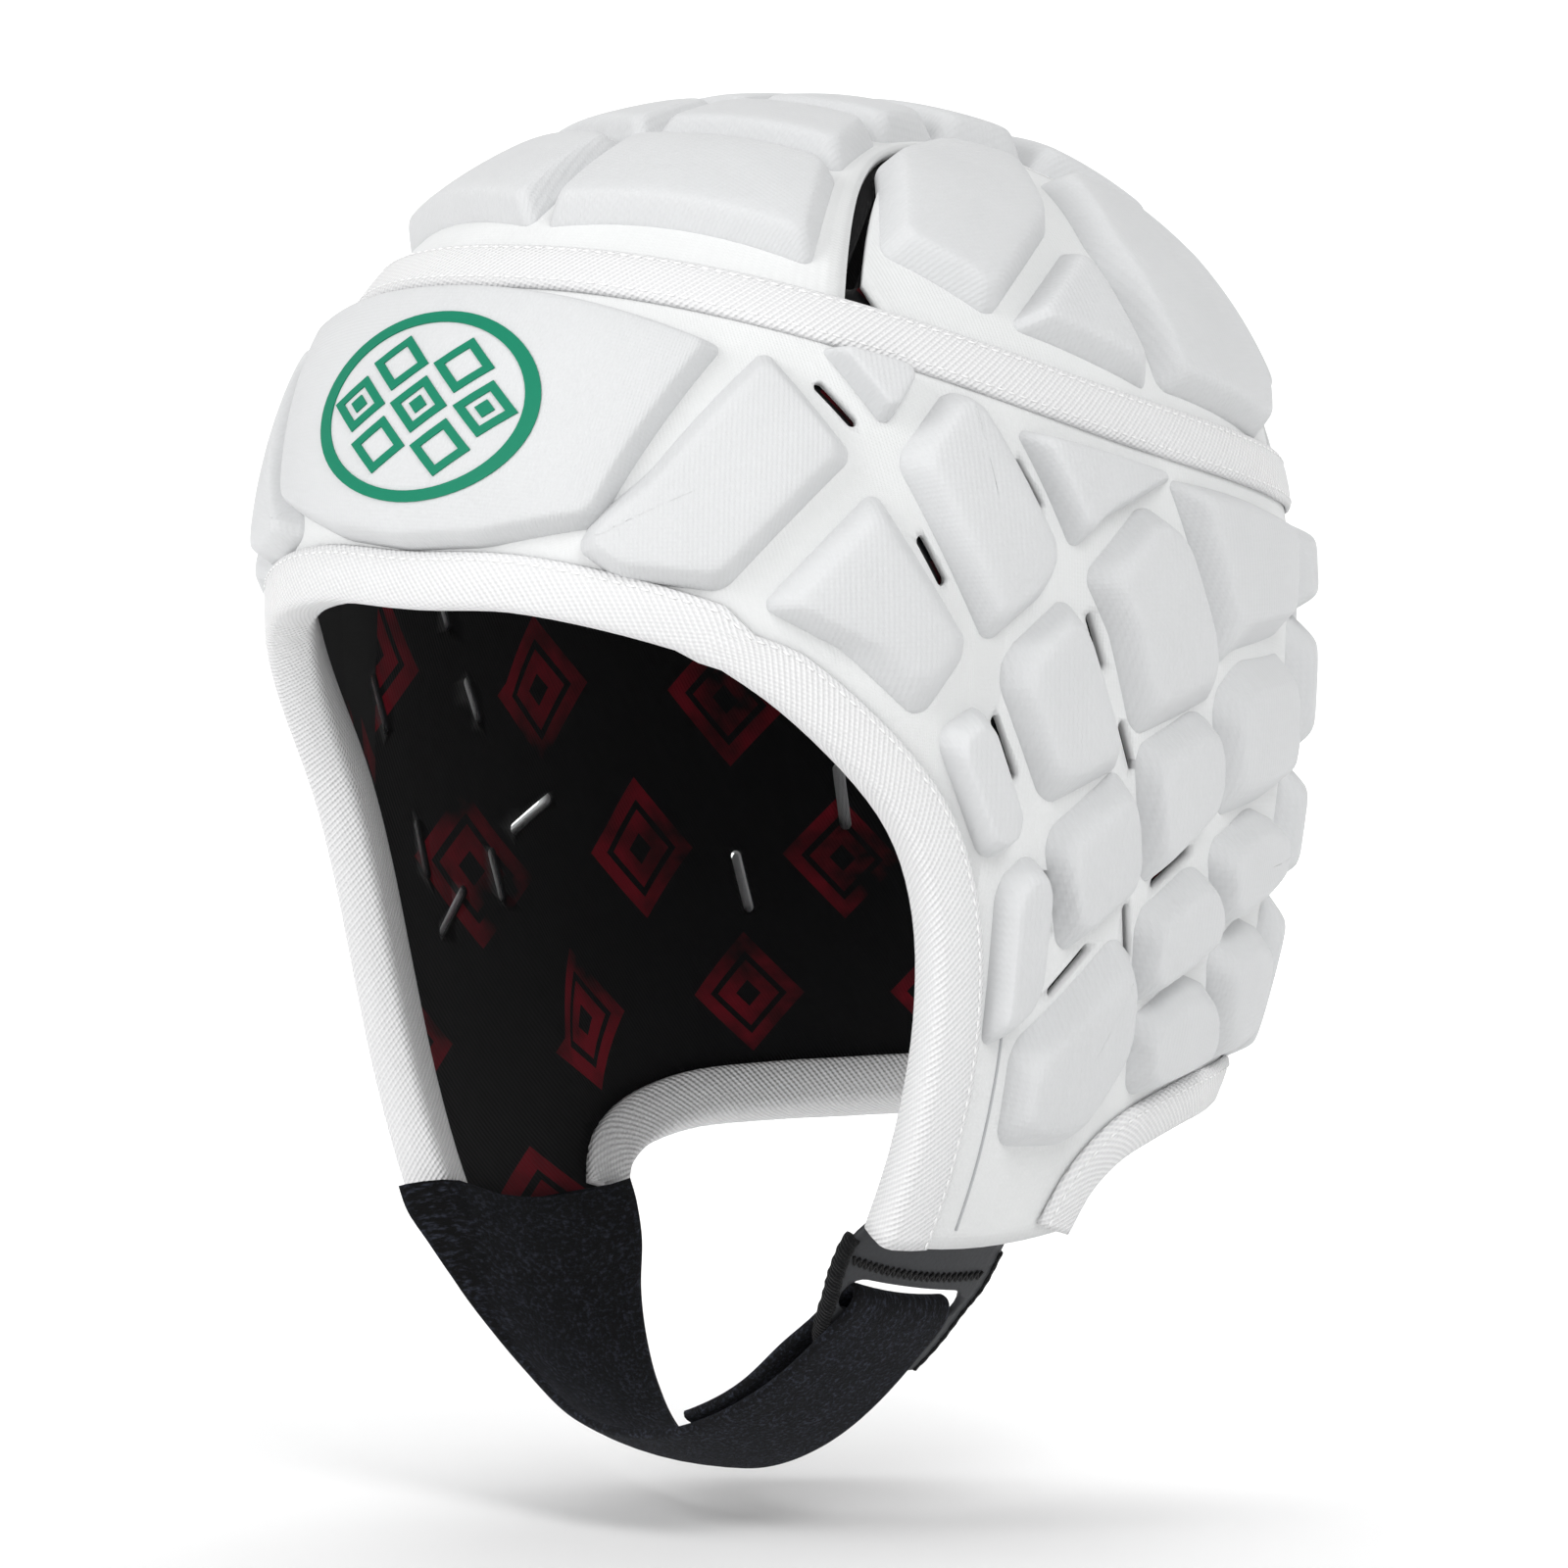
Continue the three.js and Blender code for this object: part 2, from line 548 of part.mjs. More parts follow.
// The side panel hangs from the strip's edge: sewn to it in the middle, open slits at both ends
const PANEL_COLUMNS = 9;
const PANEL_ROWS = 4;
const PANEL_TURN = { front: 62, rear: 127 };
const PANEL_ALONG = { front: 0.045, rear: 0.955 };
const SEWN_FROM = 0.36;
const SEWN_TO = 0.8;
function panelGap(share) {
  return share > SEWN_FROM && share < SEWN_TO ? PIECE_GAP : SLIT_WIDTH;
}
function sidePanel(side) {
  const grid = Array.from({ length: PANEL_COLUMNS + 1 }, (_, column) => {
    const share = column / PANEL_COLUMNS;
    const top = besideStrip(side, mix(PANEL_ALONG.front, PANEL_ALONG.rear, share), panelGap(share));
    const foot = besideTape(side * mix(PANEL_TURN.front, PANEL_TURN.rear, share), -PIECE_GAP / 2);
    return Array.from({ length: PANEL_ROWS + 1 }, (_, row) => blend(top, foot, row / PANEL_ROWS));
  });
  const pads = Object.values(CROWN_SIDE_PADS)
    .map((corners) => pad(corners.map(([f, u]) => fromSide(f, u, side))));
  return joined([sheet(grid, CROWN), ...pads]);
}

// The open stretches beside the strip, as shares of the way from front to rear
const CROWN_SLITS = [{ from: 0.05, to: 0.33 }, { from: 0.83, to: 0.94 }];

// The lining covers the inside of band and crown in one piece, up over the top of the head
function crownSlit(side, from, to) {
  const shares = [0, 1, 2, 3].map((i) => mix(from, to, i / 3));
  const near = shares.map((along) => onCrown(side, along));
  const far = shares.map((along) => besideStrip(side, along, SLIT_WIDTH));
  return loft(CUTTER.map((out) => [...near, ...far.toReversed()].map((c) => place(c, out))));
}
const crownSlits = sides.flatMap((side) => CROWN_SLITS.map(({ from, to }) => crownSlit(side, from, to)));
const liningGrid = bandGrid.map((column) => {
  const overTop = Array.from({ length: LINING_CROWN_ROWS }, (_, row) =>
    blend(UP, column[0], row / LINING_CROWN_ROWS));
  return [...overTop, ...column];
});
const lining = sheet(liningGrid, LINING, true)
  .subtract(joined([vents, ...crownSlits]));

// Tape ring over the seam
const tapeRings = Array.from({ length: TAPE_STATIONS }, (_, i) => {
  const turn = (360 * i) / TAPE_STATIONS;
  const line = [-1, 1].map((share) => besideTape(turn, share * TAPE_HALF_WIDTH));
  return [
    ...line.map((c) => place(c, TAPE.outer)),
    ...line.toReversed().map((c) => place(c, TAPE.inner)),
  ];
});
const crownTape = loft(tapeRings, true);

// A tape folded over the edge of shell and lining, along a list of places on that edge
function binding(edge) {
  return loft(edge.map((here, i) => {
    const before = place(edge[Math.max(0, i - 1)], 0);
    const after = place(edge[Math.min(edge.length - 1, i + 1)], 0);
    const ahead = after.sub(before).normalize();
    const inward = new THREE.Vector3().crossVectors(ahead, outward(here)).normalize();
    const spot = (along, out) => place(slide(here, inward.clone().multiplyScalar(along)), out);
    const { outside, inside } = BINDING;
    const { outer, inner, start } = BINDING_EDGE;
    return [
      spot(BINDING_COVER, outside + BINDING_THICK), spot(0, outside + BINDING_THICK),
      spot(-BINDING_TURN, outside - outer), spot(-BINDING_TURN, inside + outer),
      spot(0, BINDING_INNER_FACE), spot(BINDING_COVER, BINDING_INNER_FACE),
      spot(BINDING_COVER, inside), spot(start, inside),
      spot(-EDGE_GAP, inside + inner), spot(-EDGE_GAP, outside - inner),
      spot(start, outside), spot(BINDING_COVER, outside),
    ];
  }));
}
const around = COLUMNS.map((c) => ({ ...c, turn: c.turn < 0 ? c.turn + 360 : c.turn }));
const rightFace = around.filter((c) => c.turn >= 360 - FLAP_FRONT_TURN);
const leftFace = around.filter((c) => c.turn <= FLAP_FRONT_TURN);
const faceEdge = [...rightFace, ...leftFace].map((c) => c.foot).toReversed();
const napeEdge = around.filter((c) => c.turn >= FLAP_REAR_TURN && c.turn <= 360 - FLAP_REAR_TURN)
  .map((c) => c.foot).toReversed();

// Slot tab, with the slot cut through
const tabGrid = TAB_EDGES.map(({ aside, front, rear }) =>
  [0, 0.33, 0.67, 1].map((share) => fromChin(aside, mix(front, rear, share))));
const slotMiddle = (TAB_SLOT.high + TAB_SLOT.low) / 2;
const slotOutline = [
  fromChin(TAB_SLOT.high, TAB_SLOT.rear), fromChin(TAB_SLOT.high, TAB_SLOT.front),
  fromChin(slotMiddle, TAB_SLOT.front + TAB_SLOT.round),
  fromChin(TAB_SLOT.low, TAB_SLOT.front), fromChin(TAB_SLOT.low, TAB_SLOT.rear),
  fromChin(slotMiddle, TAB_SLOT.rear - TAB_SLOT.round),
];
const slotCutter = loft([TAB.inner - CUT_CLEAR, TAB.outer + CUT_CLEAR].map((out) =>
  slotOutline.map((c) => place(c, out))));
const slotTab = sheet(tabGrid, TAB).subtract(slotCutter);

// Overlocked edging beside the tab
function tabEdging(which, way) {
  return loft(TAB_EDGES.slice(1).map(({ aside, [which]: forward }) => {
    const edge = fromChin(aside, forward);
    const away = new THREE.Vector3(0, -way, 0);
    const near = slide(edge, away.clone().multiplyScalar(PIECE_GAP));
    const far = slide(edge, away.clone().multiplyScalar(PIECE_GAP + TAB_EDGING.width));
    const middle = (TAB.inner + TAB.outer) / 2;
    const half = TAB_EDGING.thick / 2;
    return [place(near, middle + half), place(far, middle + half), place(far, middle - half), place(near, middle - half)];
  }));
}

// Chin strap: sewn inside the right flap, under the chin, in through the slot and folded back on itself
const strapPath = STRAP_STATIONS.map(({ aside, forward, half, out }) => ({
  centre: place(fromChin(aside, forward), BINDING_INNER_FACE + out),
  front: place(fromChin(aside, forward + half), BINDING_INNER_FACE + out),
  rear: place(fromChin(aside, forward - half), BINDING_INNER_FACE + out),
}));
const chinStrap = loft(strapPath.map(({ centre, front, rear }, i) => {
  const before = strapPath[Math.max(0, i - 1)].centre;
  const after = strapPath[Math.min(strapPath.length - 1, i + 1)].centre;
  const ahead = after.clone().sub(before).normalize();
  const width = front.clone().sub(rear).normalize();
  const face = new THREE.Vector3().crossVectors(width, ahead).normalize().multiplyScalar(STRAP_THICK / 2);
  const line = [rear, centre, front];
  return [
    ...line.map((p) => p.clone().add(face)),
    ...line.toReversed().map((p) => p.clone().sub(face)),
  ];
}));

// Surfaces, as the cloth looks in daylight
const paddedKnit = { color: "#dcdcdc", roughness: 0.9, metalness: 0 };
const wovenTape = { color: "#f0f0f0", roughness: 0.85, metalness: 0 };
const liningCloth = { color: "#08080a", roughness: 0.95, metalness: 0 };
const coatedCloth = { color: "#444648", roughness: 0.6, metalness: 0 };
const darkWebbing = { color: "#0b0d12", roughness: 0.9, metalness: 0 };

const part = new THREE.Group();
function add(name, manifold, look) {
  const mesh = manifold.getMesh();
  const geometry = new THREE.BufferGeometry()
    .setAttribute("position", new THREE.BufferAttribute(mesh.vertProperties, 3))
    .setIndex(new THREE.BufferAttribute(mesh.triVerts, 1));
  const piece = new THREE.Mesh(geometry, new THREE.MeshStandardMaterial(look));
  piece.name = name;
  part.add(piece);
}

add("padded_band", paddedBand, paddedKnit);
add("crown_strip", crownStrip, paddedKnit);
add("crown_side_left", sidePanel(1), paddedKnit);
add("crown_side_right", sidePanel(-1), paddedKnit);
add("crown_tape", crownTape, wovenTape);
add("face_binding", binding(faceEdge), wovenTape);
add("nape_binding", binding(napeEdge), wovenTape);
add("lining", lining, liningCloth);
add("slot_tab", slotTab, coatedCloth);
add("tab_edging_front", tabEdging("front", 1), darkWebbing);
add("tab_edging_rear", tabEdging("rear", -1), darkWebbing);
add("chin_strap", chinStrap, darkWebbing);

export default part;
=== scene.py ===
# %% [markdown]
# # A padded rugby scrum cap
# The cap is thin white knit laminated over foam pads, with a black lining inside, white tape over its
# seams and a dark chin strap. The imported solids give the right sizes. Here every piece is made again
# with the detail that the eye expects of cloth, and it takes the place of its solid.

# %% Frame and tools
from math import cos, pi, radians, sin

import bmesh
import bpy
import numpy as np
from mathutils import Matrix, Vector


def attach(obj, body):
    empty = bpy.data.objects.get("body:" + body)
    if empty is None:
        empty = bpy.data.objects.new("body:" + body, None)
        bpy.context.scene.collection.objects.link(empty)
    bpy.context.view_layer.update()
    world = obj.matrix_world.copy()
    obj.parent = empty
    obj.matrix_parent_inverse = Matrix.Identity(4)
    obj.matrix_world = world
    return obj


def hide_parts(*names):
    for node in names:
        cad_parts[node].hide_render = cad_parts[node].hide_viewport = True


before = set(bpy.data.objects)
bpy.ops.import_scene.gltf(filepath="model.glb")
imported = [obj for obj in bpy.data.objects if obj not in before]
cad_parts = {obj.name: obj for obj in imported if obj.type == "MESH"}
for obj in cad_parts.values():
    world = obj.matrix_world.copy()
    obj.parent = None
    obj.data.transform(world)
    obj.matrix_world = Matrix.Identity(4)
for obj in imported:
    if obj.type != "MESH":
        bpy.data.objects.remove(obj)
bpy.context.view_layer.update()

MM = 0.001
print("solids loaded:", len(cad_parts))

# %% [markdown]
# ## The camera
# The camera stands where the photographer stood: in front, 40 degrees round to the wearer's left and
# 4 degrees above the cap. A long lens keeps the far side from shrinking. The aim is a little below the
# middle of the head, because the cap sits in the upper part of the picture.

# %% Camera
VIEW_ROUND = 40
VIEW_RISE = 4
VIEW_DISTANCE = 1.6
VIEW_LENS = 192.6
AIM = Vector((0.0004, 0.0005, -0.1219))
HEAD_MIDDLE = Vector((0, 0, -0.092))


def look_at(spot, aim):
    turn = (aim - spot).to_track_quat("-Z", "Y")
    return Matrix.Translation(spot) @ turn.to_matrix().to_4x4()


level = cos(radians(VIEW_RISE))
toward_camera = Vector(
    (sin(radians(VIEW_ROUND)) * level, -cos(radians(VIEW_ROUND)) * level, sin(radians(VIEW_RISE)))
)
camera_data = bpy.data.cameras.new("photo_camera")
camera_data.lens = VIEW_LENS
camera_data.sensor_width = 36
camera = bpy.data.objects.new("photo_camera", camera_data)
bpy.context.scene.collection.objects.link(camera)
camera.matrix_world = look_at(HEAD_MIDDLE + VIEW_DISTANCE * toward_camera, AIM)
bpy.context.scene.camera = camera
print("camera at", [round(x, 3) for x in camera.matrix_world.translation])

# %% [markdown]
# ## The head form
# All the cloth lies on one smooth head shape, so the first helper is that shape. A place on it is given
# by a direction out of the middle of the head and a distance out from the surface. The numbers are
# arrays, so thousands of points are placed at once.

# %% Head form
HALF_WIDTH = 80
HALF_LENGTH = 101
DOME_HEIGHT = 90
LOWER_DEPTH = 160
FULLNESS = 2.25
BROADER_BACK = 0.05
NAPE_TUCK = 7
CROWN_LIFT = 0.5
MIDDLE = np.array([0, 0, CROWN_LIFT - DOME_HEIGHT])
STEP = 1e-3


def unit(rows):
    return rows / np.linalg.norm(rows, axis=-1, keepdims=True)


def dot(a, b):
    return (a * b).sum(axis=-1, keepdims=True)


def on_head(way):
    share = (np.abs(way) ** FULLNESS).sum(axis=-1, keepdims=True) ** (-1 / FULLNESS)
    x, y, z = np.moveaxis(way * share, -1, 0)
    height = z * np.where(z > 0, DOME_HEIGHT, LOWER_DEPTH)
    below = np.maximum(0, -height / 100)
    return np.stack([
        HALF_WIDTH * x * (1 + BROADER_BACK * y),
        HALF_LENGTH * y - NAPE_TUCK * below**2 * np.maximum(0, y),
        height - DOME_HEIGHT + CROWN_LIFT,
    ], axis=-1)


def slopes(way):
    upright = np.abs(way[..., 2:]) < 0.9
    helper = np.where(upright, [0.0, 0.0, 1.0], [0.0, -1.0, 0.0])
    across = unit(np.cross(way, helper))
    along = unit(np.cross(across, way))
    rates = []
    for side in (across, along):
        ahead = on_head(unit(way + STEP * side))
        behind = on_head(unit(way - STEP * side))
        rates.append((ahead - behind) / (2 * STEP))
    return across, along, rates[0], rates[1]


def outward(way):
    _, _, across_rate, along_rate = slopes(way)
    normal = unit(np.cross(across_rate, along_rate))
    return normal * np.sign(dot(normal, way))


def place(way, out):
    return on_head(way) + outward(way) * np.asarray(out)[..., None]


# A place on the head, moved along the surface by millimetres
def slide(way, move):
    across, along, a, b = slopes(way)
    aa, ab, bb = dot(a, a), dot(a, b), dot(b, b)
    a_move, b_move = dot(a, move), dot(b, move)
    scale = 1 / (aa * bb - ab * ab)
    shift = across * ((a_move * bb - b_move * ab) * scale) + along * ((b_move * aa - a_move * ab) * scale)
    return unit(way + shift)


# Degrees forward and up from straight left, or straight right with side -1
def from_side(forward, up, side=1):
    forward, up = np.asarray(forward, float), np.asarray(up, float)
    angle = np.radians(np.hypot(forward, up))
    share = np.radians(np.sinc(angle / pi))
    return np.stack([side * np.cos(angle) + 0 * share, -forward * share, up * share], axis=-1)


def to_side(way, side):
    angle = np.arccos(side * way[..., 0])
    share = np.degrees(angle) / np.sin(angle)
    return -way[..., 1] * share, way[..., 2] * share


# Degrees round from the front towards the wearer's left, and degrees up
def from_front(turn, rise):
    turn, rise = np.radians(turn), np.radians(rise)
    level = np.cos(rise)
    return np.stack([np.sin(turn) * level, -np.cos(turn) * level, np.sin(rise)], axis=-1)


# Degrees aside of straight down, and a share forward: made for the strap and its tab.
def from_chin(aside, forward):
    aside, forward = np.broadcast_arrays(np.radians(aside), np.asarray(forward, float))
    return unit(np.stack([np.sin(aside), -forward, -np.cos(aside)], axis=-1))


def between(a, b, share):
    return unit(a + (b - a) * np.asarray(share)[..., None])


print("top of the head at", on_head(np.array([0, 0, 1.0])).round(2))

# %% [markdown]
# ## Lines on the head
# The crown tape is a ring, high at the front and low at the back. Below it lies the band, above it the
# crown with its central strip. These helpers follow those lines, so that neighbours share an edge.

# %% Lines on the head
TAPE_FRONT_RISE = 44
TAPE_REAR_RISE = 11
TAPE_CURVE = 1.2
STRIP_FRONT_TURN = 55
STRIP_REAR_TURN = 47
STRIP_WAIST = 20
STRIP_WAIST_BACK = 8
PIECE_GAP = 0.3


def on_tape(turn):
    share = ((1 + np.cos(np.radians(turn))) / 2) ** TAPE_CURVE
    return from_front(turn, TAPE_REAR_RISE + (TAPE_FRONT_RISE - TAPE_REAR_RISE) * share)


def beside_tape(turn, down):
    turn = np.asarray(turn, float)
    way = on_tape(turn)
    ahead = unit(on_head(on_tape(turn + 1)) - on_head(on_tape(turn - 1)))
    lower = unit(np.cross(ahead, outward(way)))
    lower = lower * -np.sign(lower[..., 2:])
    return slide(way, lower * np.asarray(down, float)[..., None])


def on_crown(across, along):
    across, along = np.broadcast_arrays(np.asarray(across, float), np.asarray(along, float))
    front = beside_tape(STRIP_FRONT_TURN * across, -PIECE_GAP / 2)
    rear = beside_tape(180 - STRIP_REAR_TURN * across, -PIECE_GAP / 2)
    tilt = radians(STRIP_WAIST_BACK)
    lean = np.radians(STRIP_WAIST * across)
    waist = unit(np.stack([np.sin(lean), sin(tilt) + 0 * lean, cos(tilt) * np.cos(lean)], axis=-1))
    bend = 2 * waist - (front + rear) / 2
    share = along[..., None]
    return unit(front * (1 - share) ** 2 + bend * 2 * share * (1 - share) + rear * share**2)


def beside_strip(side, along, distance):
    along = np.asarray(along, float)
    way = on_crown(side, along)
    ahead = unit(on_head(on_crown(side, along + 0.01)) - on_head(on_crown(side, along - 0.01)))
    away = np.cross(ahead, outward(way))
    return slide(way, away * side * np.asarray(distance, float)[..., None])


print("tape at the front", on_head(on_tape(0.0)).round(1))

# %% [markdown]
# ## Helpers that make pieces
# Most of the cap is cloth, and cloth starts flat. `wrapped` makes a flat grid and lays it where it
# belongs, with a map of the cloth in millimetres for the weave. `finished` makes the mesh an object
# that rides with the cap and stands for its solid.

# %% Helpers
def steps_of(points):
    return np.linalg.norm(np.diff(np.asarray(points, float), axis=0), axis=1)


def walked(points):
    return np.concatenate([[0], np.cumsum(steps_of(points))])


def wrapped(places, ring=False, tube=False):
    columns, rows = places.shape[0] - 1, places.shape[1] - 1
    bm = bmesh.new()
    bmesh.ops.create_grid(bm, x_segments=columns, y_segments=rows, size=0.5, calc_uvs=False)
    cloth = bm.loops.layers.uv.new("cloth")
    along = walked(places[:, rows // 4 if tube else rows // 2])
    over = walked(places[columns // 2])
    spots = {}
    for v in bm.verts:
        i, j = round((v.co.x + 0.5) * columns), round((v.co.y + 0.5) * rows)
        spots[v] = (along[i], over[j])
        v.co = places[i, j] * MM
    for face in bm.faces:
        for loop in face.loops:
            loop[cloth].uv = spots[loop.vert]
    if ring or tube:
        bmesh.ops.remove_doubles(bm, verts=bm.verts, dist=1e-6)
    return bm


def closed_ends(bm):
    edges = [e for e in bm.edges if e.is_boundary]
    bmesh.ops.holes_fill(bm, edges=edges, sides=0)
    bmesh.ops.recalc_face_normals(bm, faces=bm.faces)
    return bm


def as_object(bm, name):
    mesh = bpy.data.meshes.new(name)
    bm.to_mesh(mesh)
    bm.free()
    obj = bpy.data.objects.new(name, mesh)
    bpy.context.scene.collection.objects.link(obj)
    return obj


# The mesh that an object's modifiers make. The object itself goes.
def evaluated(obj):
    result = bmesh.new()
    result.from_object(obj, bpy.context.evaluated_depsgraph_get())
    bpy.data.objects.remove(obj)
    return result


def finished(bm, name, materials, smooth=True, nodes=()):
    for face in bm.faces:
        face.smooth = smooth
    obj = as_object(bm, name)
    for material in materials:
        obj.data.materials.append(material)
    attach(obj, "root")
    if nodes:
        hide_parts(*nodes)
    print(name, "has", len(obj.data.polygons), "faces")
    return obj


print("a step of 3 and then 4 mm is a walk of", walked([(0, 0), (3, 0), (3, 4)])[-1], "mm")


# %% [markdown]
# ## Colours and nodes
# Colours are written as they are on screen, and one function turns them into the linear values that
# Blender works with. One small function adds a node, sets it and links it.

# %% Colour and node helpers
def colour(code):
    parts = [int(code[i : i + 2], 16) / 255 for i in (1, 3, 5)]
    linear = [c / 12.92 if c <= 0.04045 else ((c + 0.055) / 1.055) ** 2.4 for c in parts]
    return (*linear, 1)


def add(tree, kind, settings=(), inputs=()):
    node = tree.nodes.new(kind)
    for name, value in dict(settings).items():
        setattr(node, name, value)
    for name, value in dict(inputs).items():
        socket = node.inputs[name]
        if isinstance(value, bpy.types.NodeSocket):
            tree.links.new(value, socket)
        else:
            socket.default_value = value
    return node


def maths(tree, how, a, b=0.0):
    return add(tree, "ShaderNodeMath", {"operation": how}, {0: a, 1: b}).outputs[0]


def noise(tree, where, scale, detail, roughness=0.5):
    inputs = {"Vector": where, "Scale": scale, "Detail": detail, "Roughness": roughness}
    return add(tree, "ShaderNodeTexNoise", {}, inputs).outputs["Fac"]


def spread(tree, value, low, high):
    inputs = {"Value": value, "From Min": low, "From Max": high}
    return add(tree, "ShaderNodeMapRange", {}, inputs).outputs[0]


def two_toned(tree, shader, share, first, second):
    tones = {0: share, 6: colour(first), 7: colour(second)}
    mix = add(tree, "ShaderNodeMix", {"data_type": "RGBA"}, tones)
    tree.links.new(mix.outputs[2], shader.inputs["Base Color"])


def cloth_material(name, roughness, sheen, code="#FFFFFF"):
    material = bpy.data.materials.new(name)
    material.use_nodes = True
    tree = material.node_tree
    shader = tree.nodes["Principled BSDF"]
    shader.inputs["Base Color"].default_value = colour(code)
    shader.inputs["Roughness"].default_value = roughness
    shader.inputs["Sheen Weight"].default_value = sheen
    shader.inputs["Specular IOR Level"].default_value = 0.25
    return material, tree, shader


def bumped(tree, shader, height, depth_mm, under=None):
    inputs = {"Height": height, "Distance": depth_mm * MM, "Strength": 1.0}
    if under:
        inputs["Normal"] = under
    bump = add(tree, "ShaderNodeBump", {}, inputs)
    tree.links.new(bump.outputs["Normal"], shader.inputs["Normal"])
    return bump.outputs["Normal"]


def cloth_axes(tree):
    uv = add(tree, "ShaderNodeUVMap", {"uv_map": "cloth"})
    axes = add(tree, "ShaderNodeSeparateXYZ", {}, {0: uv.outputs[0]})
    return uv.outputs[0], axes.outputs[0], axes.outputs[1]


def waves(tree, distance, period_mm):
    return maths(tree, "SINE", maths(tree, "MULTIPLY", distance, 2 * pi / period_mm))


print("mid grey on screen is", round(colour("#808080")[0], 3), "in linear light")

# %% [markdown]
# ## White knit
# The outside is a fine warp knit of polyester, brushed soft. It has columns of little loops less than a
# millimetre wide. A sine across the cloth gives the columns and a second one, bent by the first, gives
# the loops. They are drawn a little coarser than life, because otherwise they would not show. The cloth
# between the pads is pressed flat, which leaves it whiter than the cloth over the foam.

# %% Knit materials
KNIT_COLUMN_MM = 0.85
KNIT_LOOP_MM = 0.8
LOOP_LEAN = 0.35
# Cycles of soft noise in a metre: patches of tone, and creases with their depth in millimetres
TONE_SCALE = 60.0
CREASE_SCALE = 110.0
CREASE_MM = 0.4


def knit(name, light, dark, depth_mm):
    material, tree, shader = cloth_material(name, 0.92, 0.15)
    _, x, y = cloth_axes(tree)
    column = waves(tree, x, KNIT_COLUMN_MM)
    lean = maths(tree, "MULTIPLY", maths(tree, "ABSOLUTE", column), KNIT_LOOP_MM * LOOP_LEAN)
    loop = waves(tree, maths(tree, "ADD", y, lean), KNIT_LOOP_MM)
    relief = maths(tree, "ADD", maths(tree, "MULTIPLY", column, 0.6), maths(tree, "MULTIPLY", loop, 0.4))
    place_now = add(tree, "ShaderNodeTexCoord").outputs["Object"]
    two_toned(tree, shader, noise(tree, place_now, TONE_SCALE, 3.0), light, dark)
    crease = noise(tree, place_now, CREASE_SCALE, 2.0)
    low = add(tree, "ShaderNodeBump", {}, {"Height": crease, "Distance": CREASE_MM * MM, "Strength": 0.6})
    bumped(tree, shader, relief, depth_mm, low.outputs["Normal"])
    return material


pad_knit = knit("brushed_polyester_knit_over_foam", "#D3D4D5", "#CDCECF", 0.04)
flat_knit = knit("pressed_polyester_knit", "#E2E3E3", "#DCDDDD", 0.035)
print("knit columns to a centimetre:", round(10 / KNIT_COLUMN_MM, 1))

# %% [markdown]
# ## The outline of the band
# The band runs right round the head under the tape. Its lower edge goes round the face, down to the
# flaps over the ears and back round the nape. The table gives, for each column of cloth, where it
# starts on the tape and where it ends below. The stretches between the flap's corners are smoothed.

# %% Band outline
# Each row: turn round the head at the tape, then the foot as degrees forward and up from straight left
LEFT_COLUMNS = [
    (0, 89.6, 7.8), (10, 74, 6.8), (20, 59.5, 3.2), (30, 46, -1.8), (39, 36, -6.8), (47, 28.5, -12),
    (55, 24.5, -18), (62, 22.8, -25.5), (69, 22.7, -34), (75, 23.4, -42), (83, 10, -42.5),
    (91, -2.5, -42), (98, -4.6, -38.2), (106, -10.5, -35.6), (116, -22, -34.4), (127, -35, -35.3),
    (138, -46.5, -38.3), (149, -56.5, -42.6), (159, -63, -46.5), (169.5, -68.5, -50), (180, -72.8, -52.9),
]
RIGHT_COLUMNS = LEFT_COLUMNS[:9] + [
    (75, 23.4, -43), (83, 6, -44.8), (91, -12, -46), (98, -14.6, -42.8), (106, -20.5, -40.8),
    (116, -29, -40.2), (127, -39.3, -41.5), (138, -49, -43.8), (149, -57.5, -46.6), (159, -63.2, -48.9),
    (169.5, -68.5, -51.2), (180, -72.8, -52.9),
]
FLAP_FRONT = 9
FLAP_REAR = 11
FINE = 5
BAND_ROWS = 46
# Between these turns, in degrees from the front, the cloth's columns run straight down the side
SIDE_FROM, SIDE_TO, SIDE_BLEND = 47, 106, 8


def through(rows, at):
    first = np.clip(np.floor(at).astype(int), 0, len(rows) - 2)
    share = (at - first)[:, None]
    pick = [rows[np.clip(first + k, 0, len(rows) - 1)] for k in (-1, 0, 1, 2)]
    slope_a, slope_b = (pick[2] - pick[0]) / 2, (pick[3] - pick[1]) / 2
    return (
        pick[1] * (1 + 2 * share) * (1 - share) ** 2 + slope_a * share * (1 - share) ** 2
        + pick[2] * share**2 * (3 - 2 * share) - slope_b * share**2 * (1 - share)
    )


def smoothed(rows, fine=FINE):
    return through(rows, np.linspace(0, len(rows) - 1, (len(rows) - 1) * fine + 1))


def half(columns, side):
    table = np.array(columns, float)
    foot = from_side(table[:, 1], table[:, 2], side)
    foot[[0, -1], 0] = 0
    return np.column_stack([side * table[:, 0], foot])


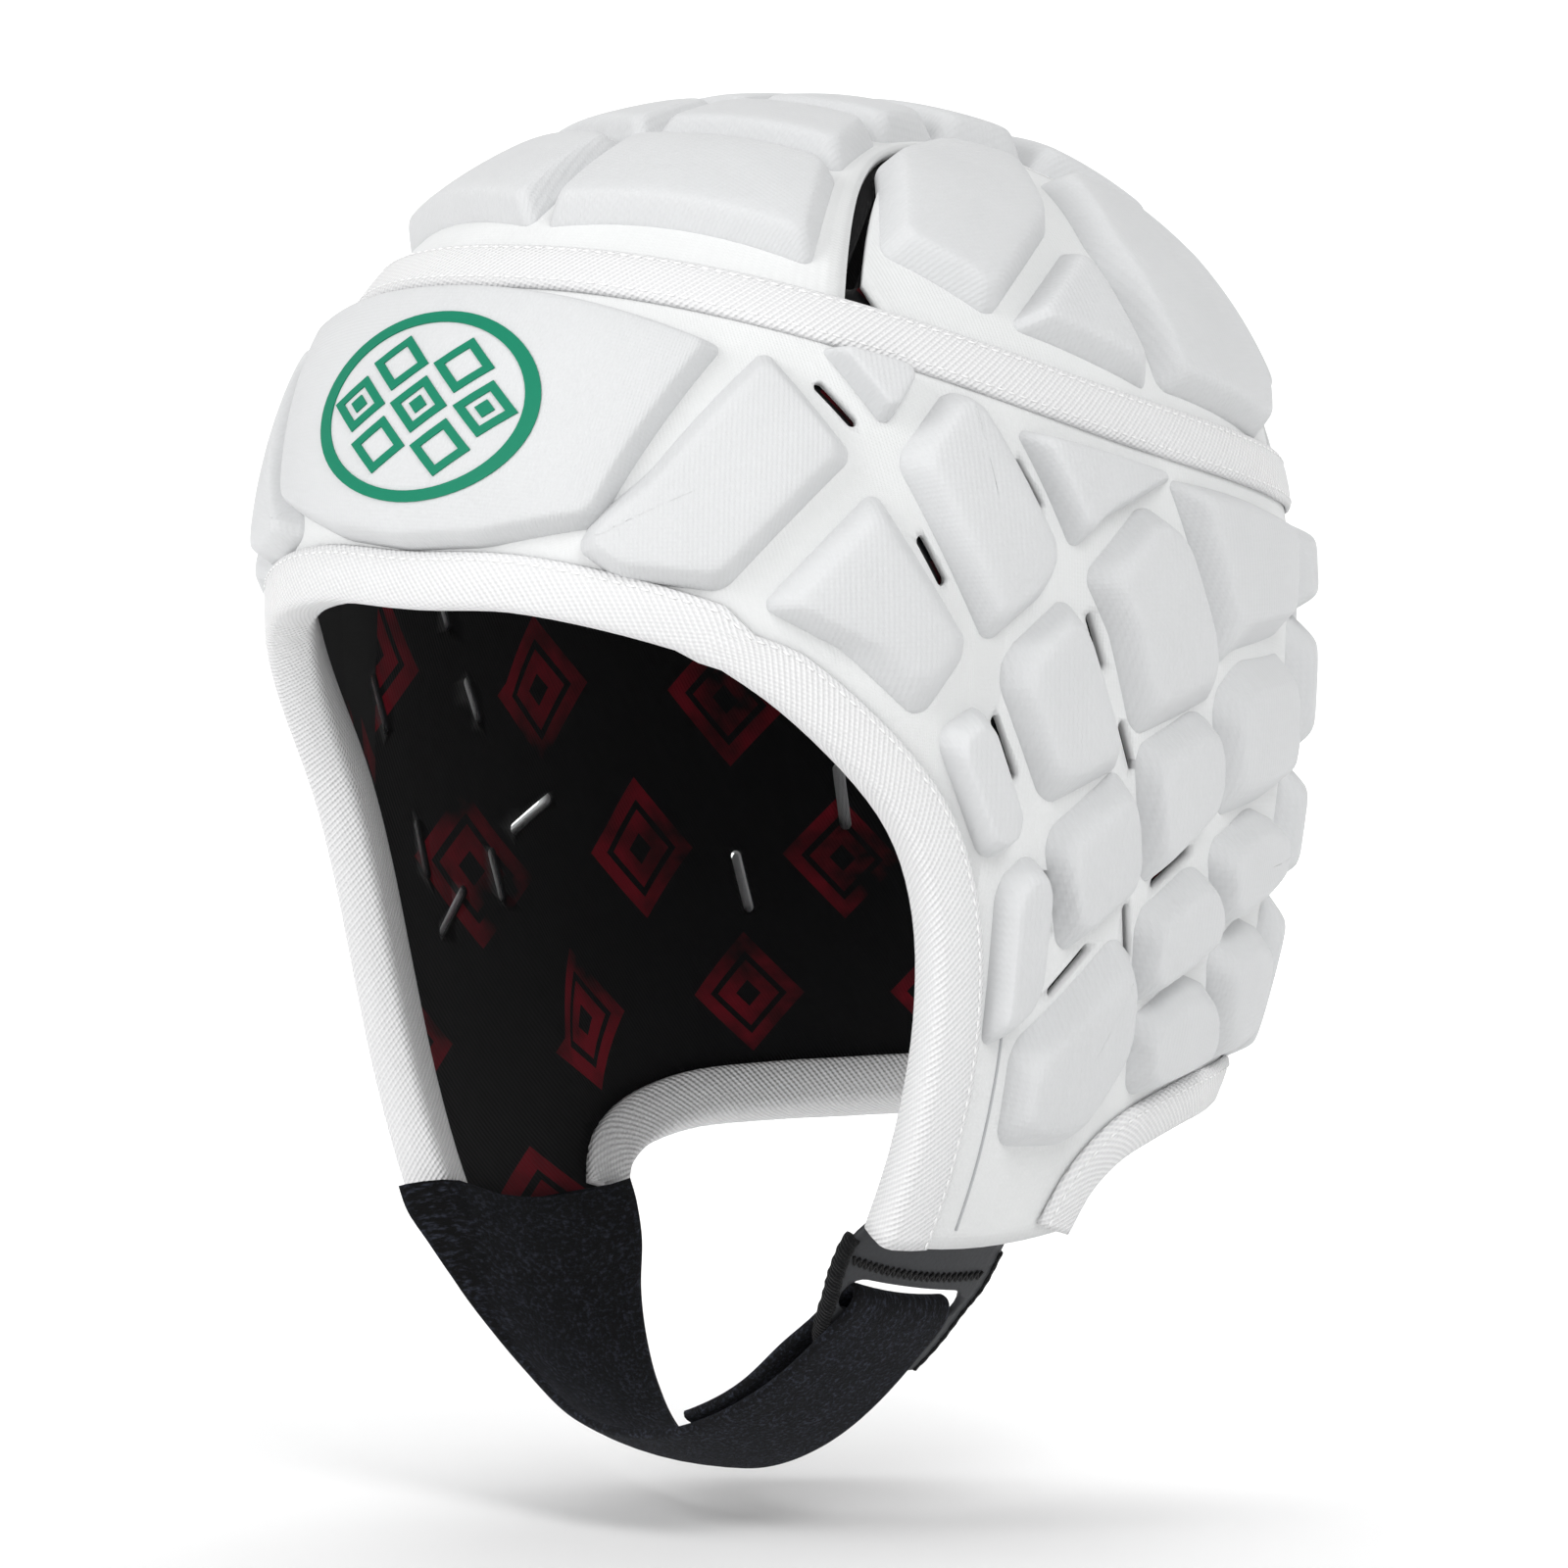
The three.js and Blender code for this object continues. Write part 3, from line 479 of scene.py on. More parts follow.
left, right = half(LEFT_COLUMNS, 1), half(RIGHT_COLUMNS, -1)
wrap_round = right[1:, :] + [360, 0, 0, 0]
face_line = smoothed(np.vstack([right[FLAP_FRONT:0:-1], left[: FLAP_FRONT + 1]]))
left_flap = smoothed(left[FLAP_FRONT : FLAP_REAR + 1])
nape_line = smoothed(np.vstack([left[FLAP_REAR:], wrap_round[-2 : FLAP_REAR - 2 : -1]]))
right_flap = smoothed(wrap_round[FLAP_REAR - 1 : FLAP_FRONT - 2 : -1])
band_line = np.vstack([face_line, left_flap[1:], nape_line[1:], right_flap[1:]])
print("columns round the band:", len(band_line), "turns", band_line[0, 0], "to", band_line[-1, 0])


def band_ways(rows):
    turn, foot = band_line[:, 0], unit(band_line[:, 1:])
    top = beside_tape(turn, PIECE_GAP / 2)
    share = np.linspace(0, 1, rows + 1)
    arc = between(top[:, None], foot[:, None], np.broadcast_to(share, (len(turn), rows + 1)))
    wide = np.abs((turn + 180) % 360 - 180)
    side = np.sign((turn + 180) % 360 - 180)
    side[side == 0] = 1
    (tf, tu), (ff, fu) = to_side(top, side), to_side(foot, side)
    straight = from_side(
        tf[:, None] + (ff - tf)[:, None] * share, tu[:, None] + (fu - tu)[:, None] * share, side[:, None]
    )
    near = np.clip((wide - SIDE_FROM) / SIDE_BLEND, 0, 1)
    near *= np.clip((SIDE_TO - wide) / SIDE_BLEND, 0, 1)
    return unit(arc + (straight - arc) * near[:, None, None])


# %% [markdown]
# ## Vent slits
# Short slits are cut through cloth and lining so that the head can breathe. A slit is a small rounded
# box, and all the boxes together are taken away from a sheet with one Boolean modifier. That keeps
# their edges sharp, as a die cutter leaves them.

# %% Vent cutters
# Ends of each slit, in degrees forward and up from straight left
SIDE_VENTS = [
    [(35, 30.5), (32.5, 26)], [(27, 12), (25, 7.5)], [(18.7, -5), (16.2, -8.6)],
    [(11.2, -15.4), (10.2, -19)], [(8.5, -23.2), (4, -20.6)], [(14, 20), (12, 15.4)],
    [(6, 1.6), (4, -2.2)], [(0.8, -6), (-1, -8.6)],
    [(-1.7, -18.2), (-2.8, -21.3)], [(-6, -16.6), (-12, -14.7)],
    [(-35, 6), (-36, 1.5)], [(-37.5, -20.5), (-38.5, -24.5)], [(-51, -15), (-51.5, -19.5)],
]
VENT_WIDTH = 2.4
VENT_DEPTH = 14
# Rounding of a slit's ends, as a share of its width
SLIT_ROUND = 0.49


def slit_cutter(bm, start, end, width):
    a, b = on_head(np.array([start, end]))
    half_way = between(start, end, 0.5)
    middle, normal = Vector(on_head(half_way)), Vector(outward(half_way))
    ahead = Vector(b - a)
    length = ahead.length + width
    ahead = (ahead - normal * ahead.dot(normal)).normalized()
    turn = Matrix((ahead, normal.cross(ahead), normal)).transposed().to_4x4()
    made = bmesh.ops.create_cube(bm, size=1)["verts"]
    bmesh.ops.scale(bm, vec=(length, width, VENT_DEPTH), verts=made)
    upright = [e for v in made for e in v.link_edges if abs(e.verts[0].co.z - e.verts[1].co.z) > 1]
    shaped = bmesh.ops.bevel(
        bm, geom=list(set(upright)), offset=width * SLIT_ROUND, affect="EDGES", segments=5, profile=0.5,
        material=-1,
    )["verts"]
    whole = {v for f in shaped[0].link_faces for v in f.verts}
    grown = 0
    while grown != len(whole):
        grown = len(whole)
        whole |= {w for v in whole for f in v.link_faces for w in f.verts}
    settle = Matrix.Scale(MM, 4) @ Matrix.Translation(middle) @ turn
    bmesh.ops.transform(bm, matrix=settle, verts=list(whole))


def cut_away(bm, cutter_bm, name):
    cutter = as_object(cutter_bm, name + "_cutter")
    sheet = as_object(bm, name + "_sheet")
    cut = sheet.modifiers.new("slits", "BOOLEAN")
    cut.operation = "DIFFERENCE"
    cut.solver = "EXACT"
    cut.object = cutter
    result = evaluated(sheet)
    bpy.data.objects.remove(cutter)
    return result


def vents(width):
    bm = bmesh.new()
    for side in (1, -1):
        for (f1, u1), (f2, u2) in SIDE_VENTS:
            slit_cutter(bm, from_side(f1, u1, side), from_side(f2, u2, side), width)
    return bm


print("vent slits in the band:", 2 * len(SIDE_VENTS))

# %% [markdown]
# ## Foam pads
# Each pad is a block of foam with sloped sides and soft shoulders. It is drawn flat as a few corners,
# and these functions work on such a drawing: they measure it, cut its corners and move its edges in.

# %% Outlines of pads
SHELL_OUT = 3.8
SHELL_THICK = 2.1
PAD_SUNK = 1.3
PAD_SLOPE = 3.9
# Millimetres that a pad's foot is grown past its drawn corners, then cut off each corner
PAD_GROWN = 1.1
PAD_CORNER = 1.5
# How near the cut corners an edge gets a point, and how far apart the others are
PAD_HOLD = 1.0
PAD_EDGE_STEP = 6.0
# The slope of a small pad takes up at most this share of its half width
EDGE_SHARE = 0.42
TABLE_STEP = 1000.0
# Each step of the pad's side: share of the slope, and height
PAD_STEPS = [(0.0, 0.2), (0.1, 0.7), (0.62, 4.4), (0.82, 5.15), (1.0, 5.35)]
PAD_TOP = 5.5
PAD_TOP_STEP = 9.0
PAD_TOP_FIRST = 0.88


def pad_frame(corners):
    middle = unit(corners.sum(axis=0))
    foot, normal = on_head(middle), outward(middle)
    helper = np.array([0, 0, 1.0]) if abs(normal[2]) < 0.8 else np.array([0, 1.0, 0])
    across = unit(np.cross(helper, normal))
    return foot, normal, across, np.cross(normal, across)


def area_and_edge(flat):
    following = np.roll(flat, -1, axis=0)
    area = (flat[:, 0] * following[:, 1] - flat[:, 1] * following[:, 0]).sum() / 2
    return area, np.linalg.norm(following - flat, axis=1).sum()


def cut_corners(flat, cuts, pieces):
    before, after = np.roll(flat, 1, axis=0), np.roll(flat, -1, axis=0)
    arrive, leave = flat + unit(before - flat) * cuts[:, None], flat + unit(after - flat) * cuts[:, None]
    outline = []
    for a, b, c, count in zip(arrive, leave, np.roll(arrive, -1, axis=0), pieces):
        length = np.linalg.norm(c - b)
        hold = min(PAD_HOLD, length / 4)
        stops = np.linspace(hold, length - hold, count + 1) / max(length, 1e-6)
        outline += [a, b] + [b + (c - b) * stop for stop in stops]
    return np.array(outline)


def moved_in(outline, distance):
    arrive = unit(outline - np.roll(outline, 1, axis=0))
    leave = np.roll(arrive, -1, axis=0)
    first, second = (np.stack([-e[:, 1], e[:, 0]], axis=-1) for e in (arrive, leave))
    return outline + (first + second) * distance / (1 + dot(first, second))


print("pads stand", PAD_TOP, "mm out of the cloth")

# %% [markdown]
# ## One pad
# A pad is raised from its outline by a stack of insets, each a discrete extrusion of the face on top.
# The edges of its foot are marked, because they have to stay sharp when the stack is made smooth.

# %% One pad
def flat_pad(bm, crease, corners, frame_now, offset):
    foot, normal, across, up = frame_now
    reach = ((foot - MIDDLE) @ normal) / (corners @ normal)
    spots = MIDDLE + corners * reach[:, None] - foot
    flat = np.stack([spots @ across, spots @ up], axis=-1)
    area, edge = area_and_edge(flat)
    if area < 0:
        flat = flat[::-1]
    flat = moved_in(flat, -PAD_GROWN)
    slope = min(PAD_SLOPE, EDGE_SHARE * 2 * abs(area) / edge)
    lengths = np.linalg.norm(np.roll(flat, -1, axis=0) - flat, axis=1)
    cuts = np.minimum(PAD_CORNER, EDGE_SHARE / 2 * np.minimum(lengths, np.roll(lengths, 1)))
    pieces = np.maximum(1, np.round(lengths / PAD_EDGE_STEP)).astype(int)
    outline = cut_corners(flat, cuts, pieces)
    rings = [(cut_corners(moved_in(flat, share * slope), cuts, pieces), rise) for share, rise in PAD_STEPS]
    last, middle = rings[-1][0], rings[-1][0].mean(axis=0)
    reach = np.linalg.norm(last - middle, axis=1).max()
    for share in np.linspace(PAD_TOP_FIRST, 0, max(2, round(reach / PAD_TOP_STEP)), endpoint=False):
        rings.append((middle + (last - middle) * share, PAD_TOP))
    face = bm.faces.new([bm.verts.new((x + offset, y, -PAD_SUNK)) for x, y in outline])
    foot_edges = list(face.edges)
    for ring, rise in rings:
        face = bmesh.ops.extrude_discrete_faces(bm, faces=[face])["faces"][0]
        for vert, (x, y) in zip(face.verts, ring):
            vert.co = (x + offset, y, rise)
    for e in foot_edges:
        e[crease] = 1.0
    return foot_edges


# %% [markdown]
# ## From the table to the head
# All pads are laid out on a table, one metre apart, and a Subdivision Surface makes them smooth. Then
# every point is carried over to the head. That way the pads keep their shape on any curve, and the
# flat drawing is the map for the knit.

# %% Pads on the head
def pads_on_head(pads, name):
    bm = bmesh.new()
    frames = [pad_frame(corners) for corners in pads]
    crease = bm.edges.layers.float.new("crease_edge")
    foot_edges = []
    for number, corners in enumerate(pads):
        foot_edges += flat_pad(bm, crease, corners, frames[number], number * TABLE_STEP)
    bmesh.ops.holes_fill(bm, edges=foot_edges, sides=0)
    table = as_object(bm, name + "_table")
    smooth = table.modifiers.new("soft", "SUBSURF")
    smooth.levels = smooth.render_levels = 1
    bm = evaluated(table)
    cloth = bm.loops.layers.uv.new("cloth")
    spots = np.array([v.co for v in bm.verts])
    which = np.round(spots[:, 0] / TABLE_STEP).astype(int)
    spots[:, 0] -= which * TABLE_STEP
    for face in bm.faces:
        for loop in face.loops:
            loop[cloth].uv = spots[loop.vert.index, :2]
    foot, _, across, up = (np.array([f[k] for f in frames])[which] for k in range(4))
    way = unit(foot + across * spots[:, :1] + up * spots[:, 1:2] - MIDDLE)
    settled = place(way, SHELL_OUT + spots[:, 2])
    for v in bm.verts:
        v.co = settled[v.index] * MM
    return bm

# %% [markdown]
# ## The padded band
# Below the tape the pads make a crazy paving with grooves of 3 to 6 mm between them. The corners are
# given in degrees forward and up from straight left, and the right side is their mirror image.

# %% Band pads
SIDE_PADS = {
    "temple": [(40, 35), (34, 22), (49, 8), (60, 10), (64, 14), (62, 17), (55, 22)],
    "cheekbone": [(44, 5.5), (32, 17), (23, 0), (28, -4)],
    "sideburn": [(25, -6), (21, -4.5), (16, -12), (19.5, -13.5)],
    "above_ear_front": [(28, 21), (21, 28), (18, 27), (11, 10), (13, 6), (20, 1)],
    "tape_triangle": [(32.5, 34), (25, 30.5), (29, 26)],
    "tape_corner": [(12.5, 23), (8, 11), (5, 13.5), (-7, 17.5)],
    "ear_top": [(18, -2), (10, 4), (2, -8), (12, -10)],
    "above_ear_rear": [(6, 7), (-3, 14), (-8, 11), (-14, -4), (-1, -6)],
    "behind_ear_top": [(-9, 16.5), (-15, -2), (-18.5, -1), (-31, -0.5), (-33, 11)],
    "behind_ear": [(-15.5, -5), (-20, -3.2), (-32, -3.2), (-34, -11), (-17, -12)],
    "ear_rear": [(-2, -8), (-11, -6), (-14, -7), (-14.5, -12), (-4, -16)],
    "ear": [(11, -13), (2, -9.5), (0, -11), (-1.5, -16.5), (8, -20)],
    "jaw_front": [(17, -16), (14, -14.5), (12, -15.5), (12, -23.5), (16.5, -26)],
    "flap": [(12.5, -27), (0, -20.5), (-3, -22), (-4, -28), (2.5, -34), (12, -33.5)],
    "lobe": [(-4, -19), (-12, -16.3), (-16, -17.5), (-17.5, -21), (-5, -24.2)],
    "lobe_rear": [(-16.5, -15), (-24, -13.2), (-33.5, -14.8), (-34, -18), (-19, -20)],
    "nape_front": [(-5.5, -26.3), (-13, -23.8), (-19, -25), (-21.5, -29.5), (-7.5, -31)],
    "nape_side": [(-19.5, -22.5), (-25, -20.8), (-35.5, -22.8), (-38, -30.3), (-24, -30)],
}
# Rear pads: turn from and to, then lowest and highest rise
REAR_PADS = [
    (127, 143.5, 0.6, 9), (127.5, 143.5, -8.8, -1), (128, 143.5, -17.2, -10.6), (129.5, 143.5, -29.3, -19),
    (146, 163, -3.4, 7.6), (146, 163, -14, -5.2), (146, 163, -22, -15.8), (146, 163, -29.4, -23.4),
]
BACK_MIDDLE_HALF = 14.4
BACK_MIDDLE_PADS = [(0, 7), (-9.6, -1.8), (-19, -11.4), (-31, -20.8)]
FOREHEAD_PAD = [(0, 40.2), (20, 38.2), (39, 32.6), (30.5, 20.8), (26.5, 13.8), (12, 11.6), (0, 11)]


def box_pad(start, end, low, high):
    return from_front(*np.array([(start, high), (end, high), (end, low), (start, low)], float).T)


band_pads = []
for side in (1, -1):
    band_pads += [from_side(*np.array(corners, float).T, side) for corners in SIDE_PADS.values()]
    band_pads += [box_pad(side * start, side * end, low, high) for start, end, low, high in REAR_PADS]
back_turns = (180 - BACK_MIDDLE_HALF, 180 + BACK_MIDDLE_HALF)
band_pads += [box_pad(*back_turns, low, high) for low, high in BACK_MIDDLE_PADS]
mirrored = [(-turn, rise) for turn, rise in FOREHEAD_PAD[-2:0:-1]]
band_pads.append(from_front(*np.array(FOREHEAD_PAD + mirrored, float).T))
print("pads on the band:", len(band_pads))

# %% [markdown]
# ## The band's cloth
# The cloth is one sheet, laid over the head between the tape and the foot of the band and thickened
# inwards. The vents are cut out of it, and then the pads are set on it with a knit of their own.

# %% The band's cloth
def sheet_between(ways, inner, outer, ring=False):
    bm = wrapped(place(ways, outer), ring=ring)
    bmesh.ops.recalc_face_normals(bm, faces=bm.faces)
    centre = Vector(MIDDLE) * MM
    if sum(face.normal.dot(face.calc_center_median() - centre) for face in bm.faces) < 0:
        bmesh.ops.reverse_faces(bm, faces=bm.faces)
    flat = as_object(bm, "flat_sheet")
    thick = flat.modifiers.new("thickness", "SOLIDIFY")
    thick.thickness = (outer - inner) * MM
    thick.offset = -1
    return evaluated(flat)


def outward_faces(bm):
    bmesh.ops.recalc_face_normals(bm, faces=bm.faces)
    return bm


def with_pads(bm, pads, name):
    for face in bm.faces:
        face.material_index = 0
    foam = pads_on_head(pads, name)
    for face in foam.faces:
        face.material_index = 1
    holder = bpy.data.meshes.new(name + "_foam")
    foam.to_mesh(holder)
    foam.free()
    bm.from_mesh(holder)
    bpy.data.meshes.remove(holder)
    return bm


def padded_piece(sheet, pads, name, node):
    bm = with_pads(sheet, pads, name)
    piece = finished(bm, name, [flat_knit, pad_knit], nodes=[node])
    return piece


band_sheet = sheet_between(band_ways(BAND_ROWS), SHELL_OUT - SHELL_THICK, SHELL_OUT, ring=True)
band_sheet = cut_away(band_sheet, vents(VENT_WIDTH), "band")
band = padded_piece(band_sheet, band_pads, "band_padded_knit", "padded_band")

# %% [markdown]
# ## The crown
# Three panels fill the ring of tape: a central strip with two rows of pads, and a side panel on each
# side. The side panels are sewn to the strip in the middle and left open at both ends, which makes the
# long slits. Each panel is a sheet laid between two of the lines from above.

# %% Crown panels
STRIP_ROWS = 64
STRIP_COLUMNS = 36
CROWN_THICK = 1.8
STRIP_PAD_ROWS = 6
STRIP_PAD_SPAN = (0.05, 0.965)
STRIP_PAD_SHARE = 0.84
STRIP_PAD_ACROSS = (0.05, 0.9)
PANEL_TURNS = (62, 127)
PANEL_ALONG = (0.045, 0.955)
SLIT_WIDTH = 3.2
PANEL_COLUMNS = 48
PANEL_ROWS = 24
# Shares along the strip: the front slit narrows and is closed, the rear slit opens and is open
SEWN = (0.30, 0.46, 0.74, 0.86)
CROWN_SIDE_PADS = [
    [(21, 47), (12, 38), (-5, 49.5), (-11, 60), (-1, 65.5), (11, 62.5)],
    [(8.5, 36), (-5.5, 45), (-7.5, 28.5)],
    [(-11, 28), (-11, 46.5), (-16, 58), (-25, 55.5), (-34.5, 42.5), (-36, 27), (-30, 21.6)],
]


def eased(x, start, end):
    share = np.clip((x - start) / (end - start), 0, 1)
    return share * share * (3 - 2 * share)


def strip_pad(side, row):
    pitch = (STRIP_PAD_SPAN[1] - STRIP_PAD_SPAN[0]) / STRIP_PAD_ROWS
    start = STRIP_PAD_SPAN[0] + row * pitch
    end = start + pitch * STRIP_PAD_SHARE
    inner, outer = (side * share for share in STRIP_PAD_ACROSS)
    return on_crown(np.array([inner, outer, outer, inner]), np.array([start, start, end, end]))


across = np.linspace(-1, 1, STRIP_COLUMNS + 1)[:, None]
along = np.linspace(0, 1, STRIP_ROWS + 1)[None, :]
strip_sheet = sheet_between(on_crown(across, along), SHELL_OUT - CROWN_THICK, SHELL_OUT)
strip_pads = [strip_pad(side, row) for side in (1, -1) for row in range(STRIP_PAD_ROWS)]
padded_piece(strip_sheet, strip_pads, "crown_strip_knit", "crown_strip")

for side, word in ((1, "left"), (-1, "right")):
    share = np.linspace(0, 1, PANEL_COLUMNS + 1)
    gap = PIECE_GAP + (SLIT_WIDTH - PIECE_GAP) * (1 - eased(share, *SEWN[:2]) + eased(share, *SEWN[2:]))
    top = beside_strip(side, PANEL_ALONG[0] + np.diff(PANEL_ALONG) * share, gap)
    low = beside_tape(side * (PANEL_TURNS[0] + np.diff(PANEL_TURNS) * share), -PIECE_GAP / 2)
    down = np.broadcast_to(np.linspace(0, 1, PANEL_ROWS + 1), (PANEL_COLUMNS + 1, PANEL_ROWS + 1))
    panel_ways = between(top[:, None], low[:, None], down)
    panel_sheet = sheet_between(panel_ways, SHELL_OUT - CROWN_THICK, SHELL_OUT)
    pads = [from_side(*np.array(corners, float).T, side) for corners in CROWN_SIDE_PADS]
    padded_piece(panel_sheet, pads, f"crown_side_{word}_knit", f"crown_side_{word}")

# %% [markdown]
# ## White tape
# A woven twill tape covers the ring seam, and the same tape is folded over the edges of the face
# opening and of the nape. Its fine diagonal ridges run up from left to right. The weave is a sine along
# a slanting line of the tape's own map, crossed by the weft.

# %% Tape material
TWILL_MM = 1.25
WEFT_MM = 0.8
TWILL_DEPTH_MM = 0.13

twill, tree, shader = cloth_material("white_cotton_twill_tape", 0.88, 0.2)
_, x, y = cloth_axes(tree)
diagonal = waves(tree, maths(tree, "ADD", x, maths(tree, "MULTIPLY", y, 0.8)), TWILL_MM)
weft = waves(tree, maths(tree, "SUBTRACT", y, maths(tree, "MULTIPLY", x, 0.25)), WEFT_MM)
ridges = maths(tree, "ADD", maths(tree, "MULTIPLY", diagonal, 0.7), maths(tree, "MULTIPLY", weft, 0.3))
bumped(tree, shader, ridges, TWILL_DEPTH_MM)
# Painted shade: the colour follows the ridges, darker in the low parts of the weave and paler on the high
# parts
two_toned(tree, shader, spread(tree, ridges, -1.0, 1.0), "#D9D9DA", "#EDEDED")
print("twill ridges to a centimetre:", 10 / TWILL_MM)

# %% [markdown]
# ## Flat tubes
# Tape, binding, edging and strap are all long and thin, with a small closed section. `swept` lays such
# a section along a line of places on the head: every point of the section is a distance sideways and a
# distance out. The two ends are filled, so that each piece is a closed body.

# %% Swept pieces
# The binding: how far it covers the cloth, how far it stands past the edge, its thickness
COVER, TURN, THICK = 8.4, 1.7, 1.1
# Inner faces of its outer and of its inner half, in millimetres out from the head form
OUT, IN = 4.7, -2.7
EDGE_GAP = 0.5
# Stations round the ring of tape
TAPE_STATIONS = 240


def inward_of(line, ring=False):
    ahead = np.gradient(on_head(line), axis=0)
    if ring:
        ahead[0] = ahead[-1] = on_head(line[1]) - on_head(line[-2])
    return unit(np.cross(unit(ahead), outward(line)))


def beside(line, distance):
    return slide(line, inward_of(line) * distance)


def swept(line, section, ring=False):
    inward = inward_of(line, ring)
    rows = [place(slide(line, inward * along), out) for along, out in section]
    return wrapped(np.stack(rows + rows[:1], axis=1), ring=ring, tube=True)


# Corners of a section: millimetres across, millimetres out. The first nine are the tape's outer face.
TAPE_SECTION = [
    (-5.0, 4.1), (-4.8, 4.8), (-4.2, 5.2), (-2.0, 5.4), (0, 5.42), (2.0, 5.4), (4.2, 5.2), (4.8, 4.8),
    (5.0, 4.1), (4.6, 3.9), (0, 4.1), (-4.6, 3.9),
]
ring_turns = np.linspace(0, 360, TAPE_STATIONS + 1)
tape_line = beside_tape(ring_turns, 0)
tape = finished(
    outward_faces(swept(tape_line, TAPE_SECTION, ring=True)), "crown_tape_weave", [twill],
    nodes=["crown_tape"],
)

# %% [markdown]
# ## The bindings
# The tape that edges the face and the nape is folded over the cloth, half outside and half inside. Its
# section follows the outer face of the fold first and then comes back along the inner face.

# %% Bindings
BINDING_OUTSIDE = [
    (COVER + 0.3, OUT - 0.4), (COVER, OUT + 0.5), (COVER - 0.9, OUT + THICK - 0.05),
    (COVER / 2, OUT + THICK + 0.05), (0.4, OUT + THICK - 0.05), (-0.9, OUT + 0.45), (-1.5, OUT - 0.6),
    (-TURN, (OUT + IN) / 2), (-1.5, IN + 0.6), (-0.9, IN - 0.45), (0.4, IN - THICK + 0.05),
    (COVER / 2, IN - THICK), (COVER - 0.9, IN - THICK + 0.1),
]
BINDING_INSIDE = [
    (COVER, IN - 0.4), (COVER + 0.4, IN + 1.4), (COVER - 0.6, IN + 1.2), (1, IN), (-EDGE_GAP, IN + 0.8),
    (-EDGE_GAP, OUT - 0.8), (1, OUT), (COVER - 0.6, OUT - 0.4),
]
# The cloth's own width is midway between the runs of the outer and of the inner face of the fold.
face_ways = unit(face_line[::-1, 1:])
nape_ways = unit(nape_line[::-1, 1:])
for name, ways in (("face_binding", face_ways), ("nape_binding", nape_ways)):
    bm = closed_ends(swept(ways, BINDING_OUTSIDE + BINDING_INSIDE))
    piece = finished(bm, name + "_tape", [twill], nodes=[name])

# %% [markdown]
# ## The print of the lining
# A small red print repeats over the black lining, a lozenge in a lozenge, each row set half a step over
# from the last. It is worked out from the map of the cloth in millimetres, so that it lies on the
# lining as real ink does, and a slow noise wears it away in patches.

# %% Lining material
PRINT_ACROSS_MM = 46.0
PRINT_DOWN_MM = 34.0
PRINT_HALF_MM = (13.0, 15.0)
# Shares of the lozenge's half size: the middle of the bare groove, half its width, the bare heart
PRINT_GROOVE, PRINT_GROOVE_HALF, PRINT_HEART = 0.62, 0.07, 0.22

black_knit, tree, shader = cloth_material("black_printed_stretch_lining", 0.95, 0.1)
uv, x, y = cloth_axes(tree)
row = maths(tree, "FLOOR", maths(tree, "DIVIDE", y, PRINT_DOWN_MM))
moved = maths(tree, "ADD", x, maths(tree, "MULTIPLY", row, PRINT_ACROSS_MM / 2))
column = maths(tree, "SUBTRACT", maths(tree, "FRACT", maths(tree, "DIVIDE", moved, PRINT_ACROSS_MM)), 0.5)
down = maths(tree, "SUBTRACT", maths(tree, "FRACT", maths(tree, "DIVIDE", y, PRINT_DOWN_MM)), 0.5)
aside = maths(tree, "MULTIPLY", maths(tree, "ABSOLUTE", column), PRINT_ACROSS_MM / PRINT_HALF_MM[0])
away = maths(tree, "MULTIPLY", maths(tree, "ABSOLUTE", down), PRINT_DOWN_MM / PRINT_HALF_MM[1])
lozenge = maths(tree, "ADD", aside, away)
outer_part = maths(tree, "LESS_THAN", lozenge, 1.0)
groove = maths(tree, "COMPARE", lozenge, PRINT_GROOVE)
groove.node.inputs[2].default_value = PRINT_GROOVE_HALF
heart = maths(tree, "LESS_THAN", lozenge, PRINT_HEART)
ink = maths(tree, "SUBTRACT", maths(tree, "SUBTRACT", outer_part, groove), heart)
wear = spread(tree, noise(tree, uv, 0.05, 4.0), 0.38, 0.62)
patchy = maths(tree, "MULTIPLY", ink, wear)
ink_now = maths(tree, "MINIMUM", maths(tree, "MAXIMUM", patchy, 0.0), 1.0)
two_toned(tree, shader, ink_now, "#0A0A0C", "#6E0C1C")
slant = maths(tree, "ADD", x, maths(tree, "MULTIPLY", y, 0.5))
bumped(tree, shader, waves(tree, slant, KNIT_COLUMN_MM), 0.02)
print("one print every", PRINT_ACROSS_MM, "by", PRINT_DOWN_MM, "mm")

# %% [markdown]
# ## The lining
# The inside is one stretch cloth that follows the head and shows through the face opening. Its columns
# start together at the top of the crown and run down to the foot of the band. The vents of the band are
# cut through it too, so that light falls in.

# %% Lining
LINING_IN, LINING_OUT = -0.5, 0.6
CROWN_ROWS = 26
# Shares along the strip of the long slits at its two ends, and their width as a share of the gap
CROWN_SLITS = [(0.05, 0.33), (0.83, 0.94)]
CROWN_SLIT_SHARE = 0.8

